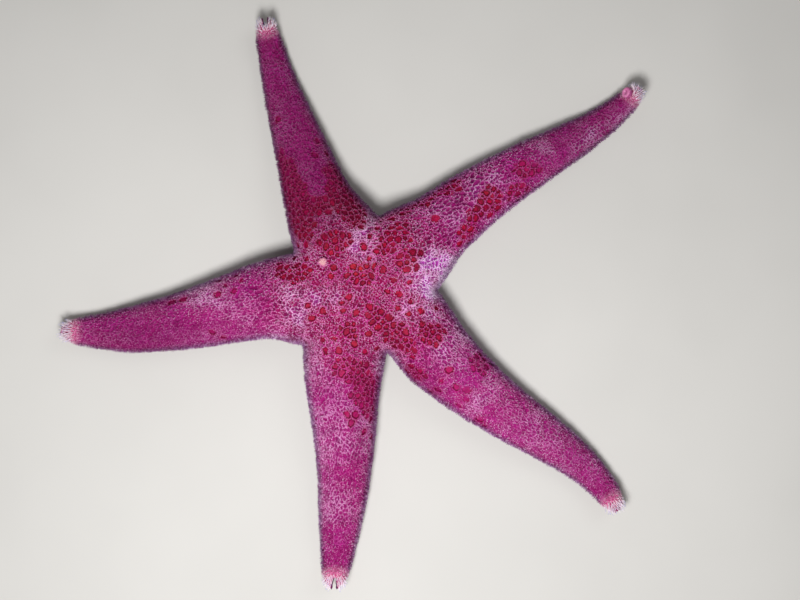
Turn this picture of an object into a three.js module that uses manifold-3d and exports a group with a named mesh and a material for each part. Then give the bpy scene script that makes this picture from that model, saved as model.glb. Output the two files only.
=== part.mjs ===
// A blood star (genus Henricia): a small disc, five unequal tapering arms with a furrow
// of tube feet under each, and a pale cap at every arm's end.
// It lies on its mouth side. Millimetres, +Z up, the floor at z = 0.
//
// The body is one smooth form described by a few functions (arm paths, arm widths, a
// section profile) and divided with thin cuts into the disc, four lengths of each arm,
// the furrow floors with their tube feet, the jaws, the mouth and the sieve plate.

import * as THREE from "three";
import { mergeVertices } from "three/addons/utils/BufferGeometryUtils.js";
import Module from "manifold-3d";

const wasm = await Module();
wasm.setup();

// ---------------------------------------------------------------- driving dimensions

const CUT = 0.3; // gap left by each cut between two pieces
const DISC_AT = [1.38, 3.05]; // middle of the disc, measured from the middle of the whole animal

// Each arm follows a path that starts in the middle of the disc. Its compass heading, in
// degrees, is heading + bend*q + sway*q^2 + hook*q^3 with q running from -0.5 to 0.5.
// Half-widths are given at a quarter, a half, three quarters and the end of the arm.
// curl is the pitch, in degrees, to which the end of the arm turns up. cleft is how far
// the furrow parts the end of the arm, where it does; plate is where the end plate shows.
const ARMS = [
  { id: 1, length: 47.4, heading: 108.7, bend: -3.6, sway: 11.1, hook: -106.6, width: [6.45, 4.55, 3.0, 1.72], curl: 50, cleft: 1.9 },
  { id: 2, length: 57.2, heading: 32.6, bend: -29.9, sway: 30.9, hook: 208.1, width: [6.05, 4.6, 3.15, 1.72], curl: 44, plate: [55.7, 40, -0.12] },
  { id: 5, length: 57.6, heading: -36.9, bend: 35.9, sway: -53.2, hook: -281.4, width: [6.45, 4.85, 3.45, 1.75], curl: 38 },
  { id: 4, length: 51.0, heading: -89.4, bend: -19.4, sway: -65.9, hook: 189.0, width: [6.75, 5.1, 3.8, 1.95], curl: 50, cleft: 2.3 },
  { id: 3, length: 50.8, heading: -165.7, bend: -14.1, sway: -68.5, hook: 34.3, width: [6.7, 5.3, 3.85, 1.85], curl: 40 },
];
// The five notches between neighbouring arms, from arm 1's right side round clockwise.
const NOTCHES = [
  { between: [1, 2], at: [2.9, 11.2] },
  { between: [2, 5], at: [12.6, -0.8] },
  { between: [5, 4], at: [4.35, -10.9] },
  { between: [4, 3], at: [-9.3, -9.7] },
  { between: [3, 1], at: [-10.6, 5.2] },
];

const BACK = 0.92; // height of the back over the widest line, per half-width
const FLANK = 0.6; // height of the widest line over the floor, per half-width
const DISC_BACK = 6.9; // height of the disc's back over its widest line
const ROUND_BACK = 2.15; // roundness of the section's upper half: 2 is an ellipse
const ROUND_FLANK = 2.3; // the same under the widest line
const SOLE = 0.56; // share of the half-width that lies flat on the floor
const VALLEY = 2.3; // how close to the notches the valleys between the arms stay

const CURL_FROM = 0.82; // the arm turns up over this last part of its length
const CAP = 2.7; // length of the pale cap at an arm's end
const CAP_ROUND = 1.55; // length over which the end closes
const ARM_CUTS = [0.46, 0.74]; // shares of the length at which an arm is divided

const FURROW_HALF = [1.42, 0.78]; // furrow half-width at the mouth and at the arm's end
const FURROW_DEEP = [2.75, 1.05]; // furrow depth at the same places
const MOUTH_R = 4.7; // radius of the mouth's hollow in the disc
const MOUTH_TURN = 108.6; // compass heading of arm 1's furrow where it leaves the mouth
const MOUTH_DEEP = 4.1;
const JAW_HIGH = 2.6;

const FLOOR_THICK = 0.55; // furrow floor that carries the tube feet
const FOOT_GAP = 2.9; // usual distance from one pair of tube feet to the next
const FOOT_R = [0.37, 0.27]; // tube foot radius at the mouth and at the arm's end
const FOOT_CLEAR = 0.18; // height of the suckers over the floor

const PLATE_R = 0.78; // end plate, seen at the end of arm 2
const PLATE_PROUD = 0.3;
const PLATE_DEEP = 0.3;

const SIEVE_AT = [-5.83, 3.67]; // sieve plate, from the middle of the disc
const SIEVE_R = 0.8;
const SIEVE_PROUD = 0.32;

const BACK_SIDES = 12; // facets over the back of an arm

// ------------------------------------------------------------------------- helpers

const rad = (d) => (d * Math.PI) / 180;
const lerp = (a, b, t) => a + (b - a) * t;
const clamp = (x, a = 0, b = 1) => Math.min(b, Math.max(a, x));
const ease = (t) => {
  const x = clamp(t);
  return x * x * (3 - 2 * x);
};

// Smooth curve through evenly spread values: a Catmull-Rom spline.
function through(values, t) {
  const n = values.length - 1,
    x = clamp(t) * n,
    i = Math.min(n - 1, Math.floor(x)),
    f = x - i;
  const at = (k) =>
    k < 0 ? 2 * values[0] - values[1] : k > n ? 2 * values[n] - values[n - 1] : values[k];
  const [a, b, c, d] = [at(i - 1), at(i), at(i + 1), at(i + 2)];
  return b + 0.5 * f * (c - a + f * (2 * a - 5 * b + 4 * c - d + f * (3 * (b - c) + d - a)));
}

// ---------------------------------------------------------------------- arm paths

const STEPS = 400;

function pathOf(arm) {
  const points = [[0, 0]],
    headings = [];
  for (let i = 0; i <= STEPS; i++) {
    const q = i / STEPS - 0.5;
    headings.push(rad(arm.heading + arm.bend * q + arm.sway * q * q + arm.hook * q * q * q));
  }
  for (let i = 1; i <= STEPS; i++) {
    const h = [headings[i - 1], headings[i]],
      d = arm.length / STEPS,
      [x, y] = points[i - 1];
    points.push([
      x + (d * (Math.cos(h[0]) + Math.cos(h[1]))) / 2,
      y + (d * (Math.sin(h[0]) + Math.sin(h[1]))) / 2,
    ]);
  }
  return {
    at(s) {
      const x = clamp(s / arm.length) * STEPS,
        i = Math.min(STEPS - 1, Math.floor(x)),
        f = x - i;
      return {
        x: lerp(points[i][0], points[i + 1][0], f),
        y: lerp(points[i][1], points[i + 1][1], f),
        heading: lerp(headings[i], headings[i + 1], f),
      };
    },
    // Distance along the path, and to its left, of the place abeam of a point.
    abeam(p) {
      let best = 0,
        least = 1e9;
      for (let i = 0; i <= STEPS; i++) {
        const d = Math.hypot(points[i][0] - p[0], points[i][1] - p[1]);
        if (d < least) [best, least] = [i, d];
      }
      const s = (best / STEPS) * arm.length,
        c = this.at(s);
      return {
        s,
        left: -(p[0] - c.x) * Math.sin(c.heading) + (p[1] - c.y) * Math.cos(c.heading),
      };
    },
  };
}

const halfWidth = (arm, s) => {
  const t = s / arm.length,
    [a, b, c, d] = arm.width;
  return t < 0.25 ? a + (a - b) * (0.25 - t) * 3 : through([a, b, c, d], (t - 0.25) / 0.75);
};
const furrowHalf = (arm, s) => lerp(...FURROW_HALF, Math.pow(s / arm.length, 0.9));
const furrowDeep = (arm, s) => lerp(...FURROW_DEEP, Math.pow(s / arm.length, 0.9));

// The furrows leave the mouth evenly spread and join the arms' own lines by the roots.
function furrowAt(arm, s) {
  const place = (at) => {
    const a = rad(MOUTH_TURN - 72 * ARMS.indexOf(arm)),
      c = arm.path.at(at),
      f = ease((at - 3) / 6);
    return [lerp(at * Math.cos(a), c.x, f), lerp(at * Math.sin(a), c.y, f)];
  };
  if (s >= 9) return arm.path.at(s);
  const [x, y] = place(s),
    [x1, y1] = place(s + 0.05),
    [x0, y0] = place(s - 0.05);
  return { x, y, heading: Math.atan2(y1 - y0, x1 - x0) };
}

// Pitch of an arm's line, and how far it has risen, where the end turns up. The plan of
// the arm stays as given: the line only gains height.
function rise(arm, s) {
  const from = arm.length * CURL_FROM,
    span = arm.length - from,
    end = rad(arm.curl);
  if (s <= from) return { pitch: 0, z: 0 };
  const n = 24,
    x = (s - from) / span;
  let z = 0;
  for (let i = 0; i < n; i++) z += (Math.tan(end * Math.pow((x * (i + 0.5)) / n, 1.4)) * x * span) / n;
  return { pitch: end * Math.pow(x, 1.4), z };
}
const hub = (arm, s) => 0.9 * FLANK * halfWidth(arm, s); // height about which sections tilt

// Section profile across an arm, for u from 0 in the middle to 1 at the widest line.
const backShape = (u) => Math.pow(Math.max(0, 1 - Math.pow(u, ROUND_BACK)), 1 / ROUND_BACK);
const soleShape = (u) => {
  const v = clamp((u - SOLE) / (1 - SOLE));
  return 1 - Math.pow(Math.max(0, 1 - Math.pow(v, ROUND_FLANK)), 1 / ROUND_FLANK);
};

// ------------------------------------------------------------------------ sections

for (const arm of ARMS) {
  arm.path = pathOf(arm);
  const of = (other) => NOTCHES.find((n) => n.between.includes(arm.id) && n.between.includes(other));
  const i = ARMS.indexOf(arm);
  arm.leftNotch = of(ARMS[(i + 4) % 5].id).at;
  arm.rightNotch = of(ARMS[(i + 1) % 5].id).at;
  arm.left0 = arm.path.abeam(arm.leftNotch);
  arm.right0 = arm.path.abeam(arm.rightNotch);
  // Where the arm's line crosses the straight line between its two notches.
  const [ax, ay] = arm.leftNotch,
    [bx, by] = arm.rightNotch;
  const side = (s) => {
    const c = arm.path.at(s);
    return (c.x - ax) * (by - ay) - (c.y - ay) * (bx - ax);
  };
  let lo = 2,
    hi = 18;
  for (let k = 0; k < 50; k++) {
    const mid = (lo + hi) / 2;
    if (side(mid) * side(lo) > 0) lo = mid;
    else hi = mid;
  }
  arm.root = (lo + hi) / 2;
}

const SETTLE = 8; // length over which an arm settles from its root to its own width

// The two edges of an arm's outline on the station that crosses its line at s.
function edges(arm, s) {
  const fade = 1 - ease((s - arm.root) / SETTLE);
  const edge = (foot, sign) => {
    const along = s + (foot.s - arm.root) * fade,
      c = arm.path.at(along);
    const w = halfWidth(arm, along) + (sign * foot.left - halfWidth(arm, foot.s)) * fade;
    return [c.x - sign * w * Math.sin(c.heading), c.y + sign * w * Math.cos(c.heading)];
  };
  return { left: edge(arm.left0, 1), right: edge(arm.right0, -1) };
}

// The closed section of an arm at s as points in space, from the right edge over the back
// to the left edge and home under the sole. shrink closes the arm's end.
function section(arm, s, shrink = 1) {
  const { left, right } = edges(arm, s),
    c = arm.path.at(s),
    half = Math.hypot(left[0] - right[0], left[1] - right[1]) / 2;
  const across = [(left[0] - right[0]) / (2 * half), (left[1] - right[1]) / (2 * half)];
  const mid = [(left[0] + right[0]) / 2, (left[1] + right[1]) / 2];
  const lineOff = (c.x - mid[0]) * across[0] + (c.y - mid[1]) * across[1];
  const { pitch, z: up } = rise(arm, s);
  const w = lerp(half, halfWidth(arm, s), ease((s - arm.root) / SETTLE));
  const flank = FLANK * w,
    over = BACK * w,
    fh = furrowHalf(arm, s) * Math.sqrt(shrink),
    fd = furrowDeep(arm, s) * shrink;
  const flat = [];
  for (let i = 0; i <= BACK_SIDES; i++) {
    const a = Math.cos((Math.PI * i) / BACK_SIDES),
      u = Math.sign(-a) * Math.pow(Math.abs(a), 2 / ROUND_BACK);
    flat.push([half * u, flank + over * backShape(Math.abs(u))]);
  }
  const under = [0.965, 0.86, SOLE].map((u) => [half * u, flank * soleShape(u)]);
  const furrow = [
    [fh, 0],
    [0.9 * fh, 0.75 * fd],
    [0.45 * fh, fd],
  ];
  flat.push(...under);
  flat.push(...furrow.map(([x, y]) => [lineOff + x, y]));
  flat.push(...furrow.toReversed().map(([x, y]) => [lineOff - x, y]));
  flat.push(...under.toReversed().map(([x, y]) => [-x, y]));
  const k = shrink,
    h = hub(arm, s); // the end closes towards this height
  return flat.map(([x, y]) => {
    const lx = x * k,
      ly = (y - h) * k;
    const forward = -Math.sin(pitch) * ly;
    return new THREE.Vector3(
      mid[0] + across[0] * lx + Math.cos(c.heading) * forward,
      mid[1] + across[1] * lx + Math.sin(c.heading) * forward,
      up + h + Math.cos(pitch) * ly,
    );
  });
}
// A place in an arm's own frame: s along it, x to its left, y up from its sole.
function inArm(arm, s) {
  const c = furrowAt(arm, s),
    { pitch, z } = rise(arm, s),
    h = hub(arm, s);
  return (x, y) => {
    const forward = -Math.sin(pitch) * (y - h);
    return new THREE.Vector3(
      c.x - x * Math.sin(c.heading) + Math.cos(c.heading) * forward,
      c.y + x * Math.cos(c.heading) + Math.sin(c.heading) * forward,
      z + h + Math.cos(pitch) * (y - h),
    );
  };
}

// ------------------------------------------------------------------------ surfaces

// A closed surface from a list of triangles of points, facing out.
function solid(triangles) {
  const geometry = new THREE.BufferGeometry();
  const position = new Float32Array(triangles.length * 9);
  let volume = 0;
  for (const [a, b, c] of triangles) volume += a.dot(b.clone().cross(c));
  triangles.forEach(([a, b, c], i) => {
    (volume < 0 ? [a, c, b] : [a, b, c]).forEach((p, k) => position.set([p.x, p.y, p.z], i * 9 + k * 3));
  });
  geometry.setAttribute("position", new THREE.BufferAttribute(position, 3));
  return mergeVertices(geometry, 1e-4);
}

// Triangles across a closed loop that may be concave, seen in the plane it is flattest in.
function capOf(loop) {
  const o = loop[0].clone();
  const n = new THREE.Vector3();
  loop.forEach((p, i) => n.add(p.clone().sub(o).cross(loop[(i + 1) % loop.length].clone().sub(o))));
  n.normalize();
  const ex = new THREE.Vector3(Math.abs(n.z) > 0.9 ? 1 : 0, 0, Math.abs(n.z) > 0.9 ? 0 : 1).cross(n).normalize(),
    ey = n.clone().cross(ex);
  const flat = loop.map((p) => new THREE.Vector2(p.clone().sub(o).dot(ex), p.clone().sub(o).dot(ey)));
  return THREE.ShapeUtils.triangulateShape(flat, []).map((t) => t.map((i) => loop[i]));
}

// Triangles of a skin between loops of equal size, closed at both ends.
function loft(loops) {
  const n = loops[0].length,
    made = [];
  for (let i = 0; i + 1 < loops.length; i++)
    for (let j = 0; j < n; j++) {
      const k = (j + 1) % n,
        [a, b, c, d] = [loops[i][j], loops[i][k], loops[i + 1][k], loops[i + 1][j]];
      made.push([a, b, c], [a, c, d]);
    }
  const first = capOf(loops[0]),
    last = capOf(loops[loops.length - 1]);
  const turned = (t, want) => {
    const [a, b, c] = t;
    const m = b.clone().sub(a).cross(c.clone().sub(a));
    return m.dot(want) > 0 ? t : [a, c, b];
  };
  const centre = (loop) => loop.reduce((s, p) => s.add(p), new THREE.Vector3()).divideScalar(loop.length);
  const way = (i, j) => centre(loops[j]).sub(centre(loops[i]));
  // The sides face out for loops that run one way round; the caps follow the sides.
  const side = made[0];
  const out = side[1].clone().sub(side[0]).cross(side[2].clone().sub(side[0]));
  const inwards = centre(loops[0]).sub(side[0]).dot(out) > 0;
  const sign = inwards ? -1 : 1;
  for (const t of first) made.push(turned(t, way(0, 1).multiplyScalar(-sign)));
  for (const t of last) made.push(turned(t, way(loops.length - 2, loops.length - 1).multiplyScalar(sign)));
  return made;
}

function manifoldOf(geometry) {
  const g = new THREE.BufferGeometry().setAttribute("position", geometry.getAttribute("position"));
  if (geometry.index) g.setIndex(geometry.index);
  const m = mergeVertices(g, 1e-4);
  return new wasm.Manifold(
    new wasm.Mesh({
      numProp: 3,
      vertProperties: new Float32Array(m.attributes.position.array),
      triVerts: new Uint32Array(m.index.array),
    }),
  );
}
function geometryOf(manifold) {
  const m = manifold.getMesh(),
    v = new Float32Array(m.numVert * 3);
  for (let i = 0; i < m.numVert; i++) v.set(m.vertProperties.subarray(i * m.numProp, i * m.numProp + 3), i * 3);
  return new THREE.BufferGeometry()
    .setAttribute("position", new THREE.BufferAttribute(v, 3))
    .setIndex(new THREE.BufferAttribute(new Uint32Array(m.triVerts), 1));
}

// ------------------------------------------------------------------- the animal

const finish = (colour, roughness) => new THREE.MeshStandardMaterial({ color: colour, roughness, metalness: 0 });
const FLESH = finish(0xb0408c, 0.62),
  PALE = finish(0xe6c3d8, 0.6),
  FOOT = finish(0xe8c9a8, 0.45),
  SIEVE = finish(0xefe2d6, 0.7),
  LIP = finish(0xc98a8f, 0.5);

const star = new THREE.Group();
star.position.set(DISC_AT[0], DISC_AT[1], 0);

function add(name, geometry, material) {
  geometry.computeVertexNormals();
  const mesh = new THREE.Mesh(geometry, material);
  mesh.name = name;
  star.add(mesh);
  return mesh;
}

// Lengths of each arm, from the root cut to the cap.
for (const arm of ARMS) {
  const L = arm.length,
    capFrom = L - CAP;
  const cuts = [arm.root, ...ARM_CUTS.map((t) => t * L), capFrom];
  const names = ["base", "middle", "outer"];
  const rows = [4, 2, 4];
  arm.stations = names.map((part, i) => {
    const a = cuts[i] + CUT / 2,
      b = cuts[i + 1] - CUT / 2,
      stations = Array.from({ length: rows[i] + 1 }, (_, k) => lerp(a, b, k / rows[i]));
    add(`arm_${arm.id}_${part}`, solid(loft(stations.map((s) => section(arm, s)))), FLESH);
    return stations;
  });
  const loops = [],
    from = capFrom + CUT / 2;
  loops.push(section(arm, from), section(arm, L - CAP_ROUND));
  for (const x of [0.55, 0.86, 1]) {
    const shrink = Math.sqrt(1 - Math.pow(x * 0.955, 2.2));
    loops.push(section(arm, L - CAP_ROUND * (1 - x), Math.max(shrink, 0.3)));
  }
  let tip = manifoldOf(solid(loft(loops)));
  if (arm.cleft) {
    // The furrow runs out through the end of the arm and parts it.
    const p = (s, x, z) => inArm(arm, s)(x, 0).setZ(z);
    const wedge = [-1, 20].map((z) => [p(L - arm.cleft, -0.1, z), p(L - arm.cleft, 0.1, z), p(L, 0.42, z), p(L, -0.42, z)]);
    for (const loop of wedge) {
      const ahead = inArm(arm, L)(0, 0).sub(inArm(arm, L - 0.5)(0, 0)).setZ(0).normalize().multiplyScalar(1.5);
      loop[2].add(ahead);
      loop[3].add(ahead);
    }
    tip = tip.subtract(manifoldOf(solid(loft(wedge))));
  }
  if (arm.plate) {
    const [s, x, y] = arm.plate;
    const place = plateFrame(arm, s, x, y);
    const seat = new THREE.CylinderGeometry(PLATE_R + CUT * 0.8, PLATE_R + CUT * 0.8, 4, 12);
    seat.deleteAttribute("normal").deleteAttribute("uv");
    tip = tip.subtract(manifoldOf(seat.translate(0, 2 - PLATE_DEEP - CUT * 0.8, 0).applyMatrix4(place)));
    const profile = [
      [0, -PLATE_DEEP],
      [PLATE_R, -PLATE_DEEP],
      [PLATE_R, 0.12],
      [PLATE_R * 0.8, PLATE_PROUD],
      [PLATE_R * 0.5, PLATE_PROUD * 0.85],
      [PLATE_R * 0.28, 0.02],
      [0, -0.02],
    ].map(([r, z]) => new THREE.Vector2(r, z));
    const g = new THREE.LatheGeometry(profile, 12).deleteAttribute("normal").deleteAttribute("uv");
    add(`end_plate_${arm.id}`, mergeVertices(g.applyMatrix4(place), 1e-4), PALE);
  }
  add(`arm_${arm.id}_tip`, geometryOf(tip), PALE);
}

// Where the end plate sits: s along the arm, turned to its left by an angle round it.
function plateFrame(arm, s, turn, proud) {
  const to = inArm(arm, s),
    w = halfWidth(arm, s),
    t = rad(turn);
  const side = Math.sin(t),
    up = Math.cos(t);
  const centre = to(w * side, FLANK * w + BACK * w * up + proud);
  const base = to(0, FLANK * w);
  const y = to(side, FLANK * w + up).sub(base).normalize();
  const z = to(up, FLANK * w - side).sub(base).normalize();
  return new THREE.Matrix4().makeBasis(y.clone().cross(z), y, z).setPosition(centre);
}

const CORNER_AWAY = 8;

// The disc: a five-cornered body between the notches. A place in it is given by the arm
// whose root it lies before, rho from 0 in the middle to 1 at the root, and u across.
function discPlace(arm, rho, u, inset = 0) {
  const [ax, ay] = arm.leftNotch,
    [bx, by] = arm.rightNotch;
  const f = (1 - u) / 2; // u = 1 at the left notch
  const x = lerp(ax, bx, f),
    y = lerp(ay, by, f);
  const chord = Math.hypot(bx - ax, by - ay);
  const away = Math.abs(ax * (by - ay) - ay * (bx - ax)) / chord;
  // The edge stands back by the inset; the corners, shared by two arms, by a like amount.
  const r = rho * (1 - inset * lerp(1 / away, 1 / CORNER_AWAY, Math.pow(Math.abs(u), 8)));
  return [x * r, y * r];
}
const rootHalf = (arm) =>
  Math.hypot(arm.leftNotch[0] - arm.rightNotch[0], arm.leftNotch[1] - arm.rightNotch[1]) / 2;
const DISC_FLANK = (FLANK * ARMS.reduce((s, a) => s + rootHalf(a), 0)) / 5;
// Heights blend between the disc's and the arm's own.
const discFlank = (arm, rho, u) => lerp(DISC_FLANK, FLANK * rootHalf(arm), ease(rho) * (1 - u * u));
const discBack = (arm, rho, u) => {
  const g = Math.abs(u) * Math.pow(rho, VALLEY);
  const high = lerp(DISC_BACK, BACK * rootHalf(arm), ease(rho) * (1 - u * u));
  return discFlank(arm, rho, u) + high * backShape(g);
};
const discSole = (arm, rho, u) => discFlank(arm, rho, u) * soleShape(Math.abs(u) * Math.pow(rho, VALLEY));

function discGeometry() {
  const RINGS = 6,
    inset = CUT / 2,
    made = [];
  const V = (x, y, z) => new THREE.Vector3(x, y, z);
  const across = [];
  for (let i = 0; i <= BACK_SIDES; i++) {
    const a = Math.cos((Math.PI * i) / BACK_SIDES);
    across.push(Math.sign(a) * Math.pow(Math.abs(a), 2 / ROUND_BACK));
  } // from the left notch, u = 1, to the right one
  const soleAcross = [1, 0.965, 0.86, SOLE, 0, -SOLE, -0.86, -0.965, -1];
  for (const arm of ARMS) {
    const top = [],
      bottom = [];
    for (let r = 0; r <= RINGS; r++) {
      const rho = Math.pow(r / RINGS, 0.85);
      const point = (high) => (u) => {
        const [x, y] = discPlace(arm, rho, u, inset);
        return V(x, y, high(arm, rho, u));
      };
      top.push(across.map(point(discBack)));
      bottom.push(soleAcross.map(point(discSole)));
    }
    const sheet = (grid, flip) => {
      for (let r = 0; r < RINGS; r++)
        for (let i = 0; i + 1 < grid[0].length; i++) {
          const [a, b, c, d] = [grid[r][i], grid[r][i + 1], grid[r + 1][i + 1], grid[r + 1][i]];
          const two = r === 0 ? [[a, c, d]] : [[a, b, c], [a, c, d]];
          for (const t of two) made.push(flip ? [t[0], t[2], t[1]] : t);
        }
    };
    sheet(top, false);
    sheet(bottom, true);
    // The wall at the root, between the back's edge and the sole's edge.
    const wall = [...top[RINGS].slice(0, -1), ...bottom[RINGS].toReversed().slice(0, -1)];
    const out = V(arm.leftNotch[0] + arm.rightNotch[0], arm.leftNotch[1] + arm.rightNotch[1], 0);
    for (const t of capOf(wall)) {
      const n = t[1].clone().sub(t[0]).cross(t[2].clone().sub(t[0]));
      made.push(n.dot(out) > 0 ? t : [t[0], t[2], t[1]]);
    }
  }
  return solid(made);
}

// A straight-sided prism over a plan outline.
function prism(outline, from, to, draft = 1) {
  const mid = outline.reduce((s, p) => [s[0] + p[0] / outline.length, s[1] + p[1] / outline.length], [0, 0]);
  const low = outline.map(([x, y]) => new THREE.Vector3(x, y, from)),
    high = outline.map(([x, y]) => new THREE.Vector3(lerp(mid[0], x, draft), lerp(mid[1], y, draft), to));
  return solid(loft([low, high]));
}
const ring = (r, n, turn = 0) =>
  Array.from({ length: n }, (_, i) => [r * Math.cos((2 * Math.PI * i) / n + turn), r * Math.sin((2 * Math.PI * i) / n + turn)]);

// The channel of a furrow inside the disc, as a solid to take away.
function furrowChannel(arm) {
  const loops = [];
  for (const s of [1, 3.5, 5, 6.5, 8, 9.2, arm.root + 2]) {
    const c = furrowAt(arm, s),
      fh = furrowHalf(arm, s),
      fd = furrowDeep(arm, s);
    const p = (x, z) => new THREE.Vector3(c.x - x * Math.sin(c.heading), c.y + x * Math.cos(c.heading), z);
    loops.push([p(fh, -1), p(fh, 0), p(0.9 * fh, 0.75 * fd), p(0.45 * fh, fd), p(-0.45 * fh, fd), p(-0.9 * fh, 0.75 * fd), p(-fh, 0), p(-fh, -1)]);
  }
  return manifoldOf(solid(loft(loops)));
}

{
  let disc = manifoldOf(discGeometry());
  for (const arm of ARMS) disc = disc.subtract(furrowChannel(arm));
  const hollow = manifoldOf(prism(ring(MOUTH_R, 20), -1, MOUTH_DEEP, 0.82));
  disc = disc.subtract(hollow);
  // A seat for the sieve plate.
  const [sx, sy] = SIEVE_AT;
  const seat = prism(ring(SIEVE_R + CUT, 12).map(([x, y]) => [sx + x, sy + y]), sieveHigh() - 0.75, 20);
  disc = disc.subtract(manifoldOf(seat));
  add("disc", geometryOf(disc), FLESH);
}

// Height of the disc's back at the sieve plate.
function sieveHigh() {
  const notch = NOTCHES.find((n) => n.between.includes(3) && n.between.includes(1)).at;
  const arm = ARMS.find((a) => a.id === 1);
  return discBack(arm, Math.hypot(...SIEVE_AT) / Math.hypot(...notch), 0.93);
}

// Sieve plate: a low button with a rounded rim.
{
  const [r, p] = [SIEVE_R, SIEVE_PROUD];
  const profile = [
    [0, -0.42],
    [0.92 * r, -0.42],
    [r, -0.3],
    [r, 0.02],
    [0.86 * r, 0.68 * p],
    [0.5 * r, p],
    [0, 0.88 * p],
  ].map(([x, y]) => new THREE.Vector2(x, y));
  const g = new THREE.LatheGeometry(profile, 12).deleteAttribute("normal").deleteAttribute("uv");
  g.rotateX(Math.PI / 2).translate(SIEVE_AT[0], SIEVE_AT[1], sieveHigh());
  add("sieve_plate", mergeVertices(g, 1e-4), SIEVE);
}

// Mouth: the soft ring round the opening, hung in the disc's hollow.
{
  const r = MOUTH_R * 0.84 - CUT,
    top = MOUTH_DEEP - CUT;
  const profile = [
    [0.55, top - 0.75],
    [0.75, top - 1.15],
    [1.5, top - 1.1],
    [r * 0.8, top - 0.7],
    [r, top - 0.45],
    [r * 0.98, top],
    [0.7, top],
    [0.55, top - 0.25],
    [0.55, top - 0.75],
  ].map(([x, y]) => new THREE.Vector2(x, y));
  const g = new THREE.LatheGeometry(profile, 14).deleteAttribute("normal").deleteAttribute("uv");
  g.rotateX(Math.PI / 2);
  add("mouth", mergeVertices(g, 1e-4), LIP);
}

// Jaws: a blunt wedge in each corner of the mouth between two furrows.
NOTCHES.forEach((notch, i) => {
  const [left, right] = notch.between.map((id) => ARMS.find((a) => a.id === id));
  // Aim midway between the two furrows near the mouth.
  const near = [left, right].map((a) => furrowAt(a, 3));
  const aim = Math.atan2(near[0].y + near[1].y, near[0].x + near[1].x);
  const spread = Math.acos(clamp((near[0].x * near[1].x + near[0].y * near[1].y) / (Math.hypot(near[0].x, near[0].y) * Math.hypot(near[1].x, near[1].y)), -1, 1)) / 2;
  const keep = furrowHalf(left, 3) + 0.12,
    outer = MOUTH_R * 0.9 - CUT;
  const apex = keep / Math.sin(spread);
  const edge = Math.asin(clamp(keep / outer, 0, 1));
  const arc = spread - edge;
  const outline = [[apex + 0.22, -0.16], [apex + 0.22, 0.16]].map(([x, y]) => [x, y]);
  for (const k of [1, 0.5, 0, -0.5, -1]) outline.push([outer * Math.cos(arc * k), outer * Math.sin(arc * k)]);
  const placed = outline.map(([x, y]) => [x * Math.cos(aim) - y * Math.sin(aim), x * Math.sin(aim) + y * Math.cos(aim)]);
  const inward = placed.map(([x, y]) => [x * 0.965, y * 0.965]);
  const at = (list, z, k = 1) => {
    const m = list.reduce((s, p) => [s[0] + p[0] / list.length, s[1] + p[1] / list.length], [0, 0]);
    return list.map(([x, y]) => new THREE.Vector3(lerp(m[0], x, k), lerp(m[1], y, k), z));
  };
  const loops = [at(inward, 0.16, 0.78), at(placed, 0.55), at(placed, 1.7, 0.97), at(inward, JAW_HIGH - 0.1, 0.86)];
  add(`jaw_${i + 1}`, solid(loft(loops)), PALE);
});

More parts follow.
